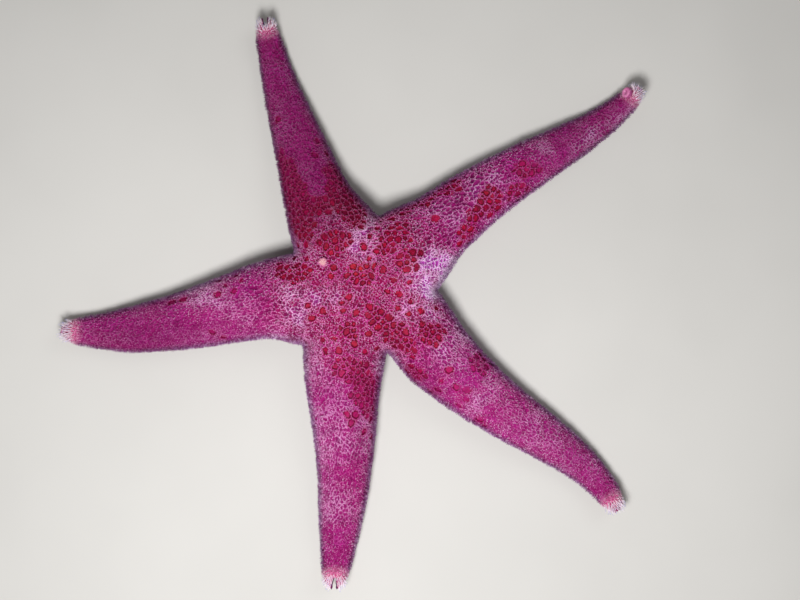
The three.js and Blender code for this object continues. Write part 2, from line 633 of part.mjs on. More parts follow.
// Furrow floors with their two rows of tube feet, each in two lengths.
for (const arm of ARMS) {
  const L = arm.length,
    start = MOUTH_R + 0.35,
    end = L - CAP - 0.5;
  const floorTop = (s) => furrowDeep(arm, s) - CUT * 1.05;
  const floorLow = (s) => floorTop(s) - lerp(FLOOR_THICK, 0.34, s / L);
  const floorHalf = (s) => 0.45 * furrowHalf(arm, s) + lerp(0.34, 0.14, s / L);
  const [base, middle, outer] = arm.stations;
  // The floors share the stations of the arm round them.
  for (const [part, stations] of [
    ["inner", [start, (start + base[0]) / 2, ...base]],
    ["outer", [...middle.slice(0, -1), middle[middle.length - 1] + CUT / 2, ...outer.slice(1, -1), end]],
  ]) {
    const made = [],
      rows = stations.length - 1;
    const low = (s, x) => inArm(arm, s)(x, floorLow(s));
    const right = stations.map((s) => low(s, -floorHalf(s))),
      left = stations.map((s) => low(s, floorHalf(s))),
      topRight = stations.map((s) => inArm(arm, s)(-0.62 * floorHalf(s), floorTop(s))),
      topLeft = stations.map((s) => inArm(arm, s)(0.62 * floorHalf(s), floorTop(s)));
    for (let i = 0; i < rows; i++) {
      const j = i + 1;
      made.push([right[i], right[j], topRight[j]], [right[i], topRight[j], topRight[i]]);
      made.push([left[j], left[i], topLeft[i]], [left[j], topLeft[i], topLeft[j]]);
      made.push([topRight[i], topRight[j], topLeft[j]], [topRight[i], topLeft[j], topLeft[i]]);
    }
    made.push([right[0], topRight[0], topLeft[0]], [right[0], topLeft[0], left[0]]);
    made.push([right[rows], topLeft[rows], topRight[rows]], [right[rows], left[rows], topLeft[rows]]);
    // The underside is a sheet with a hole where each foot stands, made row by row.
    for (let i = 0; i < rows; i++) {
      const [from, to] = [stations[i], stations[i + 1]];
      const points = [right[i], right[i + 1], left[i + 1], left[i]],
        contour = [
          [from, -floorHalf(from)],
          [to, -floorHalf(to)],
          [to, floorHalf(to)],
          [from, floorHalf(from)],
        ].map((p) => new THREE.Vector2(...p)),
        spots = [...contour],
        holes = [];
      const pairs = Math.max(1, Math.round((to - from) / FOOT_GAP));
      for (let k = 0; k < pairs; k++)
        for (const side of [1, -1]) {
          const s = lerp(from, to, (k + (side > 0 ? 0.25 : 0.75)) / pairs),
            t = s / L,
            r = lerp(...FOOT_R, t),
            x0 = side * lerp(0.52, 0.25, t);
          // Each foot is turned a little differently, as in life.
          const corner = (q, size) => {
            const w = (Math.PI * q) / 2 + 0.2 + 0.11 * (i + k) * side;
            return [s + size * r * Math.cos(w), x0 + size * r * Math.sin(w)];
          };
          const sole = FOOT_CLEAR + 0.1 * t;
          const hole = [0, 1, 2, 3].map((q) => new THREE.Vector2(...corner(q, 0.9))),
            collar = hole.map((h) => {
              // On the flat sheet between the two stations.
              const f = (h.x - from) / (to - from),
                g = (1 + h.y / floorHalf(h.x)) / 2;
              return right[i].clone().lerp(left[i], g).lerp(right[i + 1].clone().lerp(left[i + 1], g), f);
            }),
            foot = [0, 1, 2, 3].map((q) => inArm(arm, corner(q, 1.12)[0])(corner(q, 1.12)[1], sole));
          for (let q = 0; q < 4; q++) {
            const n = (q + 1) % 4;
            made.push([collar[q], foot[q], foot[n]], [collar[q], foot[n], collar[n]]);
          }
          made.push([foot[0], foot[3], foot[2]], [foot[0], foot[2], foot[1]]);
          holes.push(hole);
          spots.push(...hole);
          points.push(...collar);
        }
      for (const [j, k, l] of THREE.ShapeUtils.triangulateShape(contour, holes)) {
        const [p, q, r] = [spots[j], spots[k], spots[l]];
        const ccw = (q.x - p.x) * (r.y - p.y) - (q.y - p.y) * (r.x - p.x) > 0;
        made.push(ccw ? [points[j], points[l], points[k]] : [points[j], points[k], points[l]]);
      }
    }
    add(`tube_feet_${arm.id}_${part}`, solid(made), FOOT);
  }
}

export default star;
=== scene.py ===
# Blood star (genus Henricia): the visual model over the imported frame.
#
# The skin is one mesh made from the same functions as the solids: arm lengths swept along
# their paths, a disc between the notches, furrows and mouth hollow. The skin lies inside
# the solids by the coat's depth. Its fine relief is a net of ridges round small cells, and
# the coat of spinelets stands along that net. Working lengths are millimetres from the
# middle of the disc until a mesh is made, which is in metres in the shared frame.

import bmesh
import bpy
import math
import numpy as np
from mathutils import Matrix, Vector
from mathutils.kdtree import KDTree


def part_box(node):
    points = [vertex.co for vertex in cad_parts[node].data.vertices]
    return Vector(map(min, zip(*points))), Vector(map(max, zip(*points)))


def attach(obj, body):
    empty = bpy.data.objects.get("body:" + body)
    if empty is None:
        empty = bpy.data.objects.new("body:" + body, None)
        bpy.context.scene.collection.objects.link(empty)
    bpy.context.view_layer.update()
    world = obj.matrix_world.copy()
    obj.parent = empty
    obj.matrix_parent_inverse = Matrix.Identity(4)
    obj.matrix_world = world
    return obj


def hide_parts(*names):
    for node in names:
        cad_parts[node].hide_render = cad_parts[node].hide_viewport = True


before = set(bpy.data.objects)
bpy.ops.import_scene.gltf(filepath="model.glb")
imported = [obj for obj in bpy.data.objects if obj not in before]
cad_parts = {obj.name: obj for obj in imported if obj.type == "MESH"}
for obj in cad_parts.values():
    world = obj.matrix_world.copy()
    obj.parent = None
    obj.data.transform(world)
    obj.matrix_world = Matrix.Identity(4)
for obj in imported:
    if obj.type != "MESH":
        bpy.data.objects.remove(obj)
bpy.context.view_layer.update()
rng = np.random.default_rng(20177)
MM = 0.001

# ------------------------------------------------------------------ named dimensions

BACK, FLANK, DISC_BACK = 0.92, 0.6, 6.9
ROUND_BACK, ROUND_FLANK, SOLE, VALLEY = 2.15, 2.3, 0.56, 2.3
SETTLE, CURL_FROM = 8.0, 0.82
CAP, CAP_ROUND = 2.7, 1.55
FURROW_HALF, FURROW_DEEP = (1.42, 0.78), (2.75, 1.05)
MOUTH_R, MOUTH_DEEP, MOUTH_TURN = 4.7, 4.1, 108.6
SIEVE_AT, SIEVE_R, SIEVE_PROUD = (-5.83, 3.67), 0.8, 0.32
JAW_HIGH = 2.6
PLATE_R, PLATE_PROUD = 0.78, 0.3

# length, heading, bend, sway, hook, half-widths, curl at the end, cleft in the end
ARM_SHAPES = {
    1: (47.4, 108.7, -3.6, 11.1, -106.6, (6.45, 4.55, 3.0, 1.72), 50, 1.9),
    2: (57.2, 32.6, -29.9, 30.9, 208.1, (6.05, 4.6, 3.15, 1.72), 44, 0),
    5: (57.6, -36.9, 35.9, -53.2, -281.4, (6.45, 4.85, 3.45, 1.75), 38, 0),
    4: (51.0, -89.4, -19.4, -65.9, 189.0, (6.75, 5.1, 3.8, 1.95), 50, 2.3),
    3: (50.8, -165.7, -14.1, -68.5, 34.3, (6.7, 5.3, 3.85, 1.85), 40, 0),
}
ROUND = [1, 2, 5, 4, 3]  # clockwise
NOTCHES = {(1, 2): (2.9, 11.2), (2, 5): (12.6, -0.8), (5, 4): (4.35, -10.9), (4, 3): (-9.3, -9.7), (3, 1): (-10.6, 5.2)}

COAT = 0.4  # depth of the coat of spinelets over the skin
VOXEL = 0.19  # grain of the skin's mesh
GAP = 0.2, 0.46  # half-widths of the gap that parts an arm's end

# The frame says where the disc's middle is: the sieve plate's place in it is known.
_lo, _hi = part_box("sieve_plate")
CENTRE = np.array([(_lo.x + _hi.x) / 2 / MM - SIEVE_AT[0], (_lo.y + _hi.y) / 2 / MM - SIEVE_AT[1], 0.0])


def smooth(x):
    x = np.clip(x, 0, 1)
    return x * x * (3 - 2 * x)


def mix(a, b, t):
    return a + (b - a) * t


def turned(a, b):
    return np.array([math.cos(a) * b[0] - math.sin(a) * b[1], math.sin(a) * b[0] + math.cos(a) * b[1]])


# ---------------------------------------------------------------------------- arms


class Arm:
    STEPS = 400

    def __init__(self, number):
        self.id = number
        self.L, head, bend, sway, hook, self.width, curl, self.cleft = ARM_SHAPES[number]
        q = np.linspace(-0.5, 0.5, self.STEPS + 1)
        h = np.radians(head + bend * q + sway * q**2 + hook * q**3)
        d = self.L / self.STEPS
        self.s = np.linspace(0, self.L, self.STEPS + 1)
        self.h = h
        self.x = np.concatenate([[0], np.cumsum(d * (np.cos(h[1:]) + np.cos(h[:-1])) / 2)])
        self.y = np.concatenate([[0], np.cumsum(d * (np.sin(h[1:]) + np.sin(h[:-1])) / 2)])
        t = np.clip((self.s - self.L * CURL_FROM) / (self.L * (1 - CURL_FROM)), 0, 1)
        self.p = math.radians(curl) * t**1.4
        tan = np.tan(self.p)
        self.z = np.concatenate([[0], np.cumsum((tan[1:] + tan[:-1]) / 2 * d)])

    def at(self, s):
        s = np.clip(s, 0, self.L)
        return np.interp(s, self.s, self.x), np.interp(s, self.s, self.y), np.interp(s, self.s, self.h)

    def half(self, s):
        t = np.asarray(s, float) / self.L
        a = self.width
        x = np.clip((t - 0.25) / 0.75, 0, 1) * 3
        i = np.minimum(2, np.floor(x)).astype(int)
        f = x - i
        v = np.array([2 * a[0] - a[1], *a, 2 * a[3] - a[2]])
        p0, p1, p2, p3 = v[i], v[i + 1], v[i + 2], v[i + 3]
        c = p1 + 0.5 * f * (p2 - p0 + f * (2 * p0 - 5 * p1 + 4 * p2 - p3 + f * (3 * (p1 - p2) + p3 - p0)))
        return np.where(t < 0.25, a[0] + (a[0] - a[1]) * (0.25 - t) * 3, c)

    def hub(self, s):
        return 0.9 * FLANK * self.half(s)

    def furrow(self, s):
        t = np.clip(np.asarray(s, float) / self.L, 0, 1) ** 0.9
        return mix(*FURROW_HALF, t), mix(*FURROW_DEEP, t)

    def abeam(self, p):
        i = int(np.argmin(np.hypot(self.x - p[0], self.y - p[1])))
        h = self.h[i]
        return self.s[i], -(p[0] - self.x[i]) * math.sin(h) + (p[1] - self.y[i]) * math.cos(h)

    def line(self, s):
        """The furrow's line: evenly spread at the mouth, the arm's own path from the root on."""
        s = np.asarray(s, float)
        a = math.radians(MOUTH_TURN - 72 * ROUND.index(self.id))

        def place(at):
            x, y, _ = self.at(at)
            f = smooth((at - 3) / 6)
            return mix(at * math.cos(a), x, f), mix(at * math.sin(a), y, f)

        x, y = place(s)
        x1, y1 = place(s + 0.05)
        x0, y0 = place(s - 0.05)
        h = np.where(s >= 9, self.at(s)[2], np.arctan2(y1 - y0, x1 - x0))
        return x, y, h

    def spot(self, s, x, y):
        """World place of section coordinates: x to the arm's left, y up from its sole."""
        cx, cy, h = self.line(s)
        p, z, hub = np.interp(s, self.s, self.p), np.interp(s, self.s, self.z), self.hub(s)
        f = -np.sin(p) * (y - hub)
        return np.stack([cx - x * np.sin(h) + np.cos(h) * f, cy + x * np.cos(h) + np.sin(h) * f, z + hub + np.cos(p) * (y - hub)], -1)


ARM = {i: Arm(i) for i in ROUND}
for k, i in enumerate(ROUND):
    arm, before, after = ARM[i], ROUND[k - 1], ROUND[(k + 1) % 5]
    find = lambda o: next(v for key, v in NOTCHES.items() if i in key and o in key)
    arm.ln, arm.rn = np.array(find(before)), np.array(find(after))
    arm.l0, arm.r0 = arm.abeam(arm.ln), arm.abeam(arm.rn)
    side = (arm.x - arm.ln[0]) * (arm.rn[1] - arm.ln[1]) - (arm.y - arm.ln[1]) * (arm.rn[0] - arm.ln[0])
    inside = (arm.s > 2) & (arm.s < 18)
    cross = np.nonzero(inside[:-1] & (side[:-1] * side[1:] <= 0))[0][0]
    arm.root = arm.s[cross]
    arm.rooth = np.hypot(*(arm.ln - arm.rn)) / 2
DISC_FLANK = FLANK * sum(a.rooth for a in ARM.values()) / 5


def edges(arm, s):
    fade = 1 - smooth((s - arm.root) / SETTLE)

    def edge(foot, sign):
        along = s + (foot[0] - arm.root) * fade
        x, y, h = arm.at(along)
        w = arm.half(along) + (sign * foot[1] - arm.half(foot[0])) * fade
        return np.array([x - sign * w * np.sin(h), y + sign * w * np.cos(h)])

    return edge(arm.l0, 1), edge(arm.r0, -1)


def sole_shape(u):
    v = np.clip((u - SOLE) / (1 - SOLE), 0, 1)
    return 1 - (1 - v**ROUND_FLANK) ** (1 / ROUND_FLANK)


def back_shape(u):
    return np.clip(1 - np.clip(u, 0, 1) ** ROUND_BACK, 0, 1) ** (1 / ROUND_BACK)


_a = np.cos(np.pi * np.arange(73) / 72)
TOP_U = -np.sign(_a) * np.abs(_a) ** (2 / ROUND_BACK)
UNDER_U = np.array([0.997, 0.985, 0.965, 0.94, 0.91, 0.87, 0.82, 0.76, 0.7, 0.63, SOLE])
FUR_X = np.array([1.06, 1.0, 0.985, 0.95, 0.9, 0.72, 0.45, 0.2])
FUR_Y = np.array([0.0, 0.06, 0.3, 0.55, 0.78, 0.92, 1.0, 1.0])


def section(arm, s, k=1.0):
    left, right = edges(arm, s)
    cx, cy, h = arm.at(s)
    half = np.hypot(*(left - right)) / 2
    across = (left - right) / (2 * half)
    mid = (left + right) / 2
    off = (cx - mid[0]) * across[0] + (cy - mid[1]) * across[1]
    p, up = np.interp(s, arm.s, arm.p), np.interp(s, arm.s, arm.z)
    w = mix(half, arm.half(s), smooth((s - arm.root) / SETTLE))
    flank, over = FLANK * w, BACK * w
    fh, fd = arm.furrow(s)
    fh, fd = fh * math.sqrt(k), fd * k
    top = np.stack([half * TOP_U, flank + over * back_shape(np.abs(TOP_U))], -1)
    under = np.stack([half * UNDER_U, flank * sole_shape(UNDER_U)], -1)
    fur = np.stack([fh * FUR_X, fd * FUR_Y], -1)
    flip = np.array([-1, 1])
    fl, fr = fur + [off, 0], (fur * flip + [off, 0])[::-1]
    flat = np.concatenate([top, under, fl, fr, (under * flip)[::-1]])
    hub = arm.hub(s)
    lx, ly = flat[:, 0] * k, (flat[:, 1] - hub) * k
    f = -math.sin(p) * ly
    return np.stack([mid[0] + across[0] * lx + math.cos(h) * f, mid[1] + across[1] * lx + math.sin(h) * f, up + hub + math.cos(p) * ly], -1)


# ---------------------------------------------------------------------- mesh tools


def new_mesh(name, verts, faces, metres=True):
    """faces: list of integer arrays, each (n, corners)."""
    v = (np.asarray(verts, float) + CENTRE) * MM if metres else np.asarray(verts, float)
    me = bpy.data.meshes.new(name)
    counts = np.concatenate([np.full(len(f), f.shape[1], np.int32) for f in faces if len(f)])
    loops = np.concatenate([np.asarray(f, np.int32).ravel() for f in faces if len(f)])
    me.vertices.add(len(v))
    me.vertices.foreach_set("co", v.astype(np.float32).ravel())
    me.loops.add(len(loops))
    me.loops.foreach_set("vertex_index", loops)
    me.polygons.add(len(counts))
    me.polygons.foreach_set("loop_start", np.concatenate([[0], np.cumsum(counts)[:-1]]).astype(np.int32))
    me.update(calc_edges=True)
    me.validate()
    ob = bpy.data.objects.new(name, me)
    bpy.context.scene.collection.objects.link(ob)
    return ob


def loft(loops, close_start=True, close_end=True):
    n = len(loops[0])
    v = np.concatenate(loops)
    i = np.arange(n)
    j = (i + 1) % n
    quads = np.concatenate([np.stack([r * n + i, r * n + j, (r + 1) * n + j, (r + 1) * n + i], -1) for r in range(len(loops) - 1)])
    caps = []
    if close_start:
        caps.append(i[::-1][None])
    if close_end:
        caps.append(((len(loops) - 1) * n + i)[None])
    return v, [quads] + caps


def vertex_normals(P, F):
    d = np.cross(P[F[:, 2]] - P[F[:, 0]], P[F[:, 3]] - P[F[:, 1]])
    N = np.zeros_like(P)
    for k in range(3):
        N[:, k] = sum(np.bincount(F[:, c], d[:, k], len(P)) for c in range(4))
    return N / np.maximum(np.linalg.norm(N, axis=1, keepdims=True), 1e-12)


def relax(P, E, weight, rounds):
    n = len(P)
    deg = np.bincount(E.ravel(), minlength=n)[:, None]
    for _ in range(rounds):
        S = np.stack([np.bincount(E[:, 0], P[E[:, 1], k], n) + np.bincount(E[:, 1], P[E[:, 0], k], n) for k in range(3)], -1)
        P = P + weight[:, None] * (S / np.maximum(deg, 1) - P)
    return P


# ------------------------------------------------------------------- the body's form


def disc_solid():
    g = 0.16
    xs = np.arange(-13.0, 14.0, g)
    X, Y = np.meshgrid(xs, xs, indexing="ij")
    top, low = np.full(X.shape, -1.0), np.full(X.shape, -1.0)
    for arm in ARM.values():
        A, B = arm.ln, arm.rn
        det = A[0] * B[1] - A[1] * B[0]
        al = (X * B[1] - Y * B[0]) / det
        be = (A[0] * Y - A[1] * X) / det
        rho, u = al + be, np.divide(al - be, al + be, out=np.zeros_like(al), where=(al + be) != 0)
        ok = (al >= -1e-9) & (be >= -1e-9) & (rho < 1.09)
        gg = np.abs(u) * np.maximum(rho, 0) ** VALLEY
        ok &= gg < 0.992
        e = smooth(rho) * (1 - u * u)
        flank = mix(DISC_FLANK, FLANK * arm.rooth, e)
        high = mix(DISC_BACK, BACK * arm.rooth, e)
        top[ok] = (flank + high * back_shape(gg))[ok]
        low[ok] = (flank * sole_shape(gg))[ok]
    valid = top > 0
    for arm in ARM.values():
        s = np.arange(1.0, arm.root + 3, 0.08)
        fx, fy, _ = arm.line(s)
        near = valid & (np.hypot(X, Y) < 14)
        pts = np.stack([X[near], Y[near]], -1)
        d2 = (pts[:, None, 0] - fx) ** 2 + (pts[:, None, 1] - fy) ** 2
        j = d2.argmin(1)
        l = np.sqrt(d2[np.arange(len(pts)), j])
        fh, fd = arm.furrow(s[j])
        x = l / fh
        deep = fd * np.interp(x, [0, 0.45, 0.9, 1.0, 1.001], [1, 1, 0.75, 0.0, 0])
        low[near] = np.maximum(low[near], deep)
    R = np.hypot(X, Y)
    z = (1 - R / MOUTH_R) / 0.18 * (MOUTH_DEEP + 1) - 1
    low = np.where(valid, np.maximum(low, np.clip(z, 0, MOUTH_DEEP)), low)
    valid &= top - low > 0.3
    cell = valid[:-1, :-1] & valid[1:, :-1] & valid[:-1, 1:] & valid[1:, 1:]
    n = X.size
    idx = np.arange(n).reshape(X.shape)
    verts = np.concatenate([np.stack([X, Y, top], -1).reshape(-1, 3), np.stack([X, Y, low], -1).reshape(-1, 3)])
    I, J = np.nonzero(cell)
    a, b, c, d = idx[I, J], idx[I + 1, J], idx[I + 1, J + 1], idx[I, J + 1]
    faces = [np.stack([a, b, c, d], -1), np.stack([a, d, c, b], -1) + n]
    pad = np.pad(cell, 1)
    walls = []
    for (di, dj), (p, q) in {(-1, 0): (lambda i, j: idx[i, j + 1], lambda i, j: idx[i, j]), (1, 0): (lambda i, j: idx[i + 1, j], lambda i, j: idx[i + 1, j + 1]), (0, -1): (lambda i, j: idx[i, j], lambda i, j: idx[i + 1, j]), (0, 1): (lambda i, j: idx[i + 1, j + 1], lambda i, j: idx[i, j + 1])}.items():
        open_ = ~pad[I + 1 + di, J + 1 + dj]
        pi, qi = p(I[open_], J[open_]), q(I[open_], J[open_])
        walls.append(np.stack([qi, pi, pi + n, qi + n], -1))
    faces.append(np.concatenate(walls))
    used = np.unique(np.concatenate([f.ravel() for f in faces]))
    remap = np.zeros(2 * n, int)
    remap[used] = np.arange(len(used))
    return verts[used], [remap[f] for f in faces]


def arm_solid(arm):
    stations = np.concatenate([np.arange(arm.root - 1.3, arm.L - CAP_ROUND, 0.3), [arm.L - CAP_ROUND]])
    loops = [section(arm, s) for s in stations]
    for x in (0.15, 0.3, 0.45, 0.6, 0.72, 0.82, 0.9, 0.96, 1.0):
        k = max(math.sqrt(1 - (x * 0.955) ** 2.2), 0.3)
        loops.append(section(arm, arm.L - CAP_ROUND * (1 - x), k))
    return loft(loops)


# The end of arms 1 and 4 is parted by the furrow: a wedge comes out of the raw arm.


def cleft_wedge(arm):
    def p(s, x, z):
        v = arm.spot(s, x, 0.0)
        return [v[0], v[1], z]

    a, b = arm.spot(arm.L, 0, 0), arm.spot(arm.L - 0.5, 0, 0)
    ahead = (a - b) * [1, 1, 0]
    ahead = ahead / np.linalg.norm(ahead) * 1.5
    loops = []
    for z in (-1, 20):
        q = np.array([p(arm.L - arm.cleft, -GAP[0], z), p(arm.L - arm.cleft, GAP[0], z), p(arm.L, GAP[1], z), p(arm.L, -GAP[1], z)])
        q[2:] += ahead
        loops.append(q[::-1])
    return loft(loops)


def evaluated(ob):
    dg = bpy.context.evaluated_depsgraph_get()
    return bpy.data.meshes.new_from_object(ob.evaluated_get(dg))


def body_mesh():
    bm = bmesh.new()
    made = []
    for arm in [None, *ARM.values()]:
        v, f = arm_solid(arm) if arm else disc_solid()
        ob = new_mesh("raw", v, f, metres=False)
        made.append(ob)
        if arm and arm.cleft:
            wedge = new_mesh("wedge", *cleft_wedge(arm), metres=False)
            made.append(wedge)
            mod = ob.modifiers.new("cleft", "BOOLEAN")
            mod.operation, mod.solver, mod.object = "DIFFERENCE", "EXACT", wedge
        me = evaluated(ob)
        bm.from_mesh(me)
        bpy.data.meshes.remove(me)
    me = bpy.data.meshes.new("raw_all")
    bm.to_mesh(me)
    bm.free()
    whole = bpy.data.objects.new("raw_all", me)
    bpy.context.scene.collection.objects.link(whole)
    made.append(whole)
    mod = whole.modifiers.new("voxel", "REMESH")
    mod.mode = "VOXEL"
    mod.voxel_size = VOXEL
    me = evaluated(whole)
    P = np.empty(len(me.vertices) * 3)
    me.vertices.foreach_get("co", P)
    F = np.empty(len(me.loops), np.int32)
    me.loops.foreach_get("vertex_index", F)
    E = np.empty(len(me.edges) * 2, np.int32)
    me.edges.foreach_get("vertices", E)
    bpy.data.meshes.remove(me)
    for ob in made:
        mesh = ob.data
        bpy.data.objects.remove(ob)
        bpy.data.meshes.remove(mesh)
    return P.reshape(-1, 3), F.reshape(-1, 4), E.reshape(-1, 2)


def largest_shell(P, F, E):
    """Only the outer shell: any crumb left inside where the lengths join goes."""
    label = np.arange(len(P))
    while True:
        new = label.copy()
        m = np.minimum(label[E[:, 0]], label[E[:, 1]])
        np.minimum.at(new, E[:, 0], m)
        np.minimum.at(new, E[:, 1], m)
        new = new[new]
        if (new == label).all():
            break
        label = new
    names, counts = np.unique(label, return_counts=True)
    keep = label == names[counts.argmax()]
    remap = np.cumsum(keep) - 1
    return P[keep], remap[F[keep[F[:, 0]]]], remap[E[keep[E[:, 0]]]]


P, F, E = largest_shell(*body_mesh())
everywhere = np.ones(len(P))
P = relax(P, E, 0.5 * everywhere, 3)
over_disc = smooth((15 - np.hypot(P[:, 0], P[:, 1])) / 4) * smooth((P[:, 2] - 2.2) / 2)
P = relax(P, E, 0.6 * over_disc, 40)

# ------------------------------------------------------- where on the animal a point is

HUB_TREE = KDTree(5 * (Arm.STEPS + 1))
for k, i in enumerate(ROUND):
    a = ARM[i]
    a.hubs = np.stack([a.x, a.y, a.z + a.hub(a.s)], -1)
    a.T = np.stack([np.cos(a.h) * np.cos(a.p), np.sin(a.h) * np.cos(a.p), np.sin(a.p)], -1)
    a.Lf = np.stack([-np.sin(a.h), np.cos(a.h), 0 * a.h], -1)
    a.U = np.cross(a.T, a.Lf)
    for j, h in enumerate(a.hubs):
        HUB_TREE.insert(h, k * (Arm.STEPS + 1) + j)
HUB_TREE.balance()
HUBS, TS, LS, US = (np.concatenate([getattr(ARM[i], n) for i in ROUND]) for n in ("hubs", "T", "Lf", "U"))
SS = np.concatenate([ARM[i].s for i in ROUND])
LENGTH = np.array([ARM[i].L for i in ROUND])
FUR = np.concatenate([np.stack([*ARM[i].line(np.linspace(0, ARM[i].L, 401))[:2]], -1) for i in ROUND])
FUR_TREE = KDTree(len(FUR))
for j, q in enumerate(FUR):
    FUR_TREE.insert((*q, 0), j)
FUR_TREE.balance()


class Where:
    """For points of the body: which arm, how far along it, and where round it."""

    def __init__(self, P):
        j = np.array([HUB_TREE.find(p)[1] for p in P])
        self.j, self.k = j, j // (Arm.STEPS + 1)
        d = P - HUBS[j]
        self.T, self.L, self.U = TS[j], LS[j], US[j]
        along = (d * self.T).sum(1)
        self.s = SS[j] + along
        self.left, self.up = (d * self.L).sum(1), (d * self.U).sum(1)
        self.turn = np.degrees(np.arctan2(self.left, self.up))  # 0 over the back, + to the left
        self.to_end = LENGTH[self.k] - self.s


W = Where(P)
q = P * [1, 1, 0]
fur = [FUR_TREE.find(p) for p in q]
fj = np.array([f[1] for f in fur])
fur_off = np.array([f[2] for f in fur])
fs = (fj % 401) / 400 * LENGTH[fj // 401]
fur_half = mix(*FURROW_HALF, (fs / LENGTH[fj // 401]) ** 0.9)
fur_deep = mix(*FURROW_DEEP, (fs / LENGTH[fj // 401]) ** 0.9)
hub_high = 0.9 * FLANK * np.select([W.k == k for k in range(5)], [ARM[i].half(np.clip(W.s, 0, ARM[i].L)) for k, i in enumerate(ROUND)])
above_sole = W.up + hub_high
below = np.abs(W.turn) > 95
N = vertex_normals(P, F)
in_furrow = smooth((fur_half + 0.15 - fur_off) / 0.3) * smooth((fur_deep + 0.5 - above_sole) / 0.4) * below
in_mouth = smooth((MOUTH_R + 0.15 - np.hypot(P[:, 0], P[:, 1])) / 0.4) * (P[:, 2] < MOUTH_DEEP + 0.8) * below
outward = smooth(((N * W.T).sum(1) - 0.15) / 0.3) * smooth((1.6 - W.to_end) / 0.6)
inner = np.maximum(in_furrow * (1 - outward), in_mouth)
close = inner * smooth((W.to_end - 0.8) / 1.4)  # where the pale lining shows; the clefts stay dark
end = smooth((2.0 - W.to_end) / 2.0)

# The walls of the gap that parts the ends of arms 1 and 4.
part = np.select([W.k == ROUND.index(i) for i in (1, 4)], [ARM[i].cleft for i in (1, 4)], 0.0)
gap_half = mix(*GAP, np.clip(1 - W.to_end / np.maximum(part, 0.1), 0, 1))
inward = -(N * W.L).sum(1) * np.sign(W.left)
parted = (part > 0) * smooth((gap_half + 0.4 - np.abs(W.left)) / 0.3) * smooth((part + 0.6 - W.to_end) / 0.4) * smooth((inward - 0.05) / 0.3)

depth = COAT * (1 - 0.6 * inner) * (1 - 0.9 * parted)
P = P - N * depth[:, None] - W.T * (0.45 * end * (1 - inner))[:, None]
P = relax(P, E, 0.5 * (1 - inner), 2)
N = vertex_normals(P, F)

# The round plate near the end of arm 2: its middle, and the arm's own axes there.
_arm = ARM[2]
_s, _turn = 55.7, math.radians(40)
_w = float(_arm.half(_s))
_foot = _arm.spot(_s, 0.0, FLANK * _w)
PLATE_MID = _arm.spot(_s, _w * math.sin(_turn), FLANK * _w + BACK * _w * math.cos(_turn) - 0.12)
PLATE_OUT = _arm.spot(_s, math.sin(_turn), FLANK * _w + math.cos(_turn)) - _foot
PLATE_DOWN = _arm.spot(_s, math.cos(_turn), FLANK * _w - math.sin(_turn)) - _foot
PLATE_OUT, PLATE_DOWN = PLATE_OUT / np.linalg.norm(PLATE_OUT), PLATE_DOWN / np.linalg.norm(PLATE_DOWN)

# -------------------------------------------------------------------- noise and marks


def lattice(ix, iy, iz, seed):
    h = (ix * 73856093) ^ (iy * 19349663) ^ (iz * 83492791) ^ (seed * 2971215073)
    h = (h ^ (h >> 13)) * 1274126177 & 0x7FFFFFFFFFFFFFF
    h = (h ^ (h >> 16)) * 668265263 & 0x7FFFFFFFFFFFFFF
    return ((h >> 11) & 0xFFFF) / 32767.5 - 1


def noise(P, size, seed):
    """Smooth noise from -1 to 1 with bumps about size across."""
    q = P / size + 1000.37
    i = np.floor(q).astype(np.int64)
    f = smooth(q - i)
    total = 0
    for dx in (0, 1):
        for dy in (0, 1):
            for dz in (0, 1):
                w = np.abs(1 - dx - f[:, 0]) * np.abs(1 - dy - f[:, 1]) * np.abs(1 - dz - f[:, 2])
                total = total + w * lattice(i[:, 0] + dx, i[:, 1] + dy, i[:, 2] + dz, seed)
    return total


